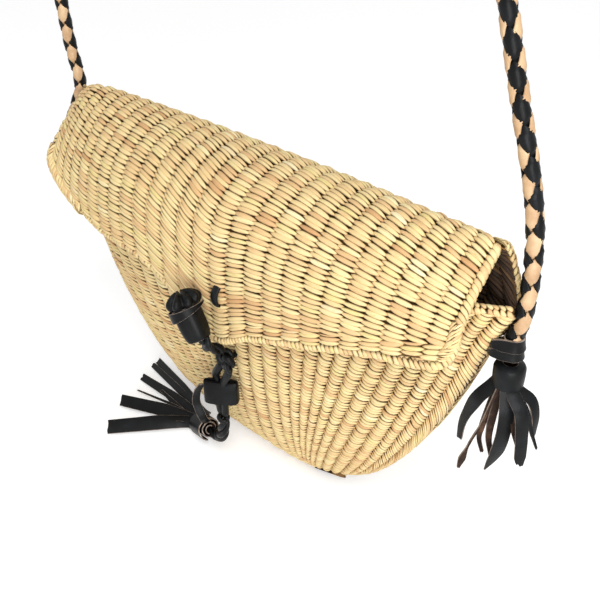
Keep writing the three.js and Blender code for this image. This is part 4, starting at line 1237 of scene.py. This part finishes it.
# Front tassel: the strip's end is rolled into a head and the rest is cut into strips that lie on the table
frontTassel = {
    "centre": (-19.5, -31, 9.7),
    "axis": (0.921, -0.217, 0.325),      # the head leans up at its rolled end
    "radius": 8.1,
    "inner": 2.4,
    "halfLength": 7,
    "turns": 2.6,
    "end": 250,
    "thickness": 0.9,
    # tips of the strips, then their widths at the root, the middle and the tip
    "strips": [((-99, -5.5, 5), (5, 5.8, 4.8)), ((-100, -9.5, 3), (4.4, 4.8, 4)),
               ((-95, -23, 3), (5.4, 6.6, 5.2)), ((-86, -34, 3), (2, 2, 1.2)),
               ((-85, -49, 4.6), (6.4, 9, 8)), ((-70, -71, 4.6), (7, 10, 9.4)),
               ((-70, -26, 7), (4.6, 4.2, 2)), ((-50, -49, 4), (4, 3.6, 1.6))],
    "facing": (0, -0.55, 0.83),
    "curl": 0.1,
    "ragged": 0.9,
    # a strip that bows up in front of the lanyard
    "bow": [(-12, -34, 18.5), (-9.4, -38, 24), (-8.9, -39.6, 27.6), (-11.1, -40, 32.6), (-13.4, -40, 38.6),
            (-11.3, -40, 47.8), (-6.2, -40, 56.2)],
    "bowWidths": [(0, 4.6), (0.4, 5.4), (1, 4.2)],
    "bowRagged": 0.5,
}
thong = {
    "route": [(9, -38.5, 39.5), (8.6, -38.5, 33), (6.4, -37.7, 25), (1.5, -35.5, 17), (-5.5, -32.4, 11.2),
              (-11.5, -31, 8.6), (-17, -31, 8.4)],
    "step": 1.2,
    "firstSide": (1, 0, 0),
    "phases": (0, 2.1, 4.2),
    "turns": 1.6,
    "radius": 2.1,
    "lace": (4.0, 3.0),
    "knot": (9, -38.5, 38.6),
}


def fringeNet(k, level, axis, rng):
    # from inside the head, out of its cut end and along the table to the tip
    tip, (root, middle, end) = frontTassel["strips"][k]
    half = frontTassel["halfLength"]
    spread = (k / (len(frontTassel["strips"]) - 1) - 0.5) * frontTassel["radius"] * 1.2
    base = np.array(frontTassel["centre"]) - level * spread + (0, 0, 4.4 - 1.1 * k)
    leaving = base - axis * (half + 5)
    leaving[2] = max(leaving[2], 3)
    points = [base - axis * (half - 3), leaving]
    for share, rise in ((0.35, 1.6), (0.7, 0.8)):
        points.append(leaving + (np.array(tip) - leaving) * share + (0, 0, rise))
    widths = [(0, root), (0.5, middle), (1, end)]
    return stripNet(points + [tip], frontTassel["facing"], widths, frontTassel["curl"],
                    frontTassel["ragged"], rng)


def makeFrontTassel():
    rng = np.random.default_rng(51)
    half = frontTassel["halfLength"]
    axis = np.array(frontTassel["axis"])
    level = unit(np.cross((0, 0, 1), axis))
    share = np.linspace(0, 1, 110)
    nets = [rolledNet(frontTassel["centre"], (axis, level, np.cross(axis, level)),
                      (frontTassel["inner"], frontTassel["radius"]),
                      (frontTassel["end"] - 360 * frontTassel["turns"], frontTassel["end"]),
                      share, -half - 0.4 * share, half + 1.2 * (1 - share), 0.2, 8)]
    nets += [fringeNet(k, level, axis, rng) for k in range(len(frontTassel["strips"]))]
    nets += [stripNet(frontTassel["bow"], cameraSettings["back"], frontTassel["bowWidths"],
                      frontTassel["curl"], frontTassel["bowRagged"], rng)]
    finishHide("frontTassel", "front_tassel", frontTassel["thickness"], nets, "front_tassel")
    t = np.linspace(0, 2 * math.pi, 40)
    knot = np.stack([3.0 * np.cos(t), 2.6 * np.sin(t), 0.9 * np.sin(2 * t)], 1) + thong["knot"]
    finishLaces("frontTasselThong", "front_tassel",
                twistedLaces(thong) + [laceShape(knot, 3.4, 2.4, (0, 0, 1), 1.2, ends=0.9)],
                ["front_tassel_thong"])


makeBead()
makeFrontTassel()
print("bead and front tassel are made")

# Floor, lights and surroundings
stage = {
    "floorHalf": 3.0,
    "floorGlow": 0.42,
    "floorSurface": {"Base Color": (0.8, 0.8, 0.8, 1), "Roughness": 0.9},
    "worldStrength": 0.6,
    "target": (0, 0, -0.4),
    "lights": {"key": {"place": (0.55, -0.35, 0.45), "size": 0.6, "power": 5.7},
               "fill": {"place": (0.8, -0.7, -0.25), "size": 0.6, "power": 6.5}},
}
white = (1, 1, 1, 1)


def seenRays(tree):
    # 1 for what the camera sees directly, in a reflection or through something clear
    ray = addNode(tree, "ShaderNodeLightPath")
    seen = ray.outputs["Is Camera Ray"]
    for other in ("Is Glossy Ray", "Is Transmission Ray"):
        seen = addNode(tree, "ShaderNodeMath", {"operation": "MAXIMUM"},
                       links={0: seen, 1: ray.outputs[other]}).outputs[0]
    return seen


def makeFloor():
    shape = bmesh.new()
    bmesh.ops.create_grid(shape, x_segments=1, y_segments=1, size=stage["floorHalf"])
    bmesh.ops.translate(shape, verts=shape.verts, vec=(0, 0, cadBox[0][2]))
    mesh = bpy.data.meshes.new("floor")
    shape.to_mesh(mesh)
    shape.free()
    floor = addObject("floor", mesh)
    material, tree, shader = newMaterial("white paper sweep", stage["floorSurface"])
    glow = addNode(tree, "ShaderNodeEmission", values={"Color": white, "Strength": stage["floorGlow"]})
    lit = addNode(tree, "ShaderNodeAddShader", links={0: shader.outputs[0], 1: glow.outputs[0]})
    seen = addNode(tree, "ShaderNodeMixShader",
                   links={0: seenRays(tree), 1: shader.outputs[0], 2: lit.outputs[0]})
    tree.links.new(seen.outputs[0], tree.nodes["Material Output"].inputs["Surface"])
    mesh.materials.append(material)


def makeLight(name, place, size, power):
    lamp = bpy.data.lights.new(name, "AREA")
    lamp.shape = "DISK"
    lamp.size = size
    lamp.energy = power
    holder = addObject(name, lamp)
    holder.location = place
    holder.rotation_euler = (Vector(stage["target"]) - Vector(place)).to_track_quat("-Z", "Y").to_euler()


def makeWorld():
    world = bpy.data.worlds.new("white studio")
    world.use_nodes = True
    tree = world.node_tree
    light = tree.nodes["Background"]
    light.inputs["Color"].default_value = white
    light.inputs["Strength"].default_value = stage["worldStrength"]
    plain = addNode(tree, "ShaderNodeBackground", values={"Color": white, "Strength": 1.0})
    seen = addNode(tree, "ShaderNodeMixShader",
                   links={0: seenRays(tree), 1: light.outputs[0], 2: plain.outputs[0]})
    tree.links.new(seen.outputs[0], tree.nodes["World Output"].inputs["Surface"])
    bpy.context.scene.world = world


makeFloor()
makeWorld()
for lightName, settings in stage["lights"].items():
    makeLight(lightName, **settings)
bpy.context.scene.view_settings.view_transform = "Standard"
print("stage is lit")
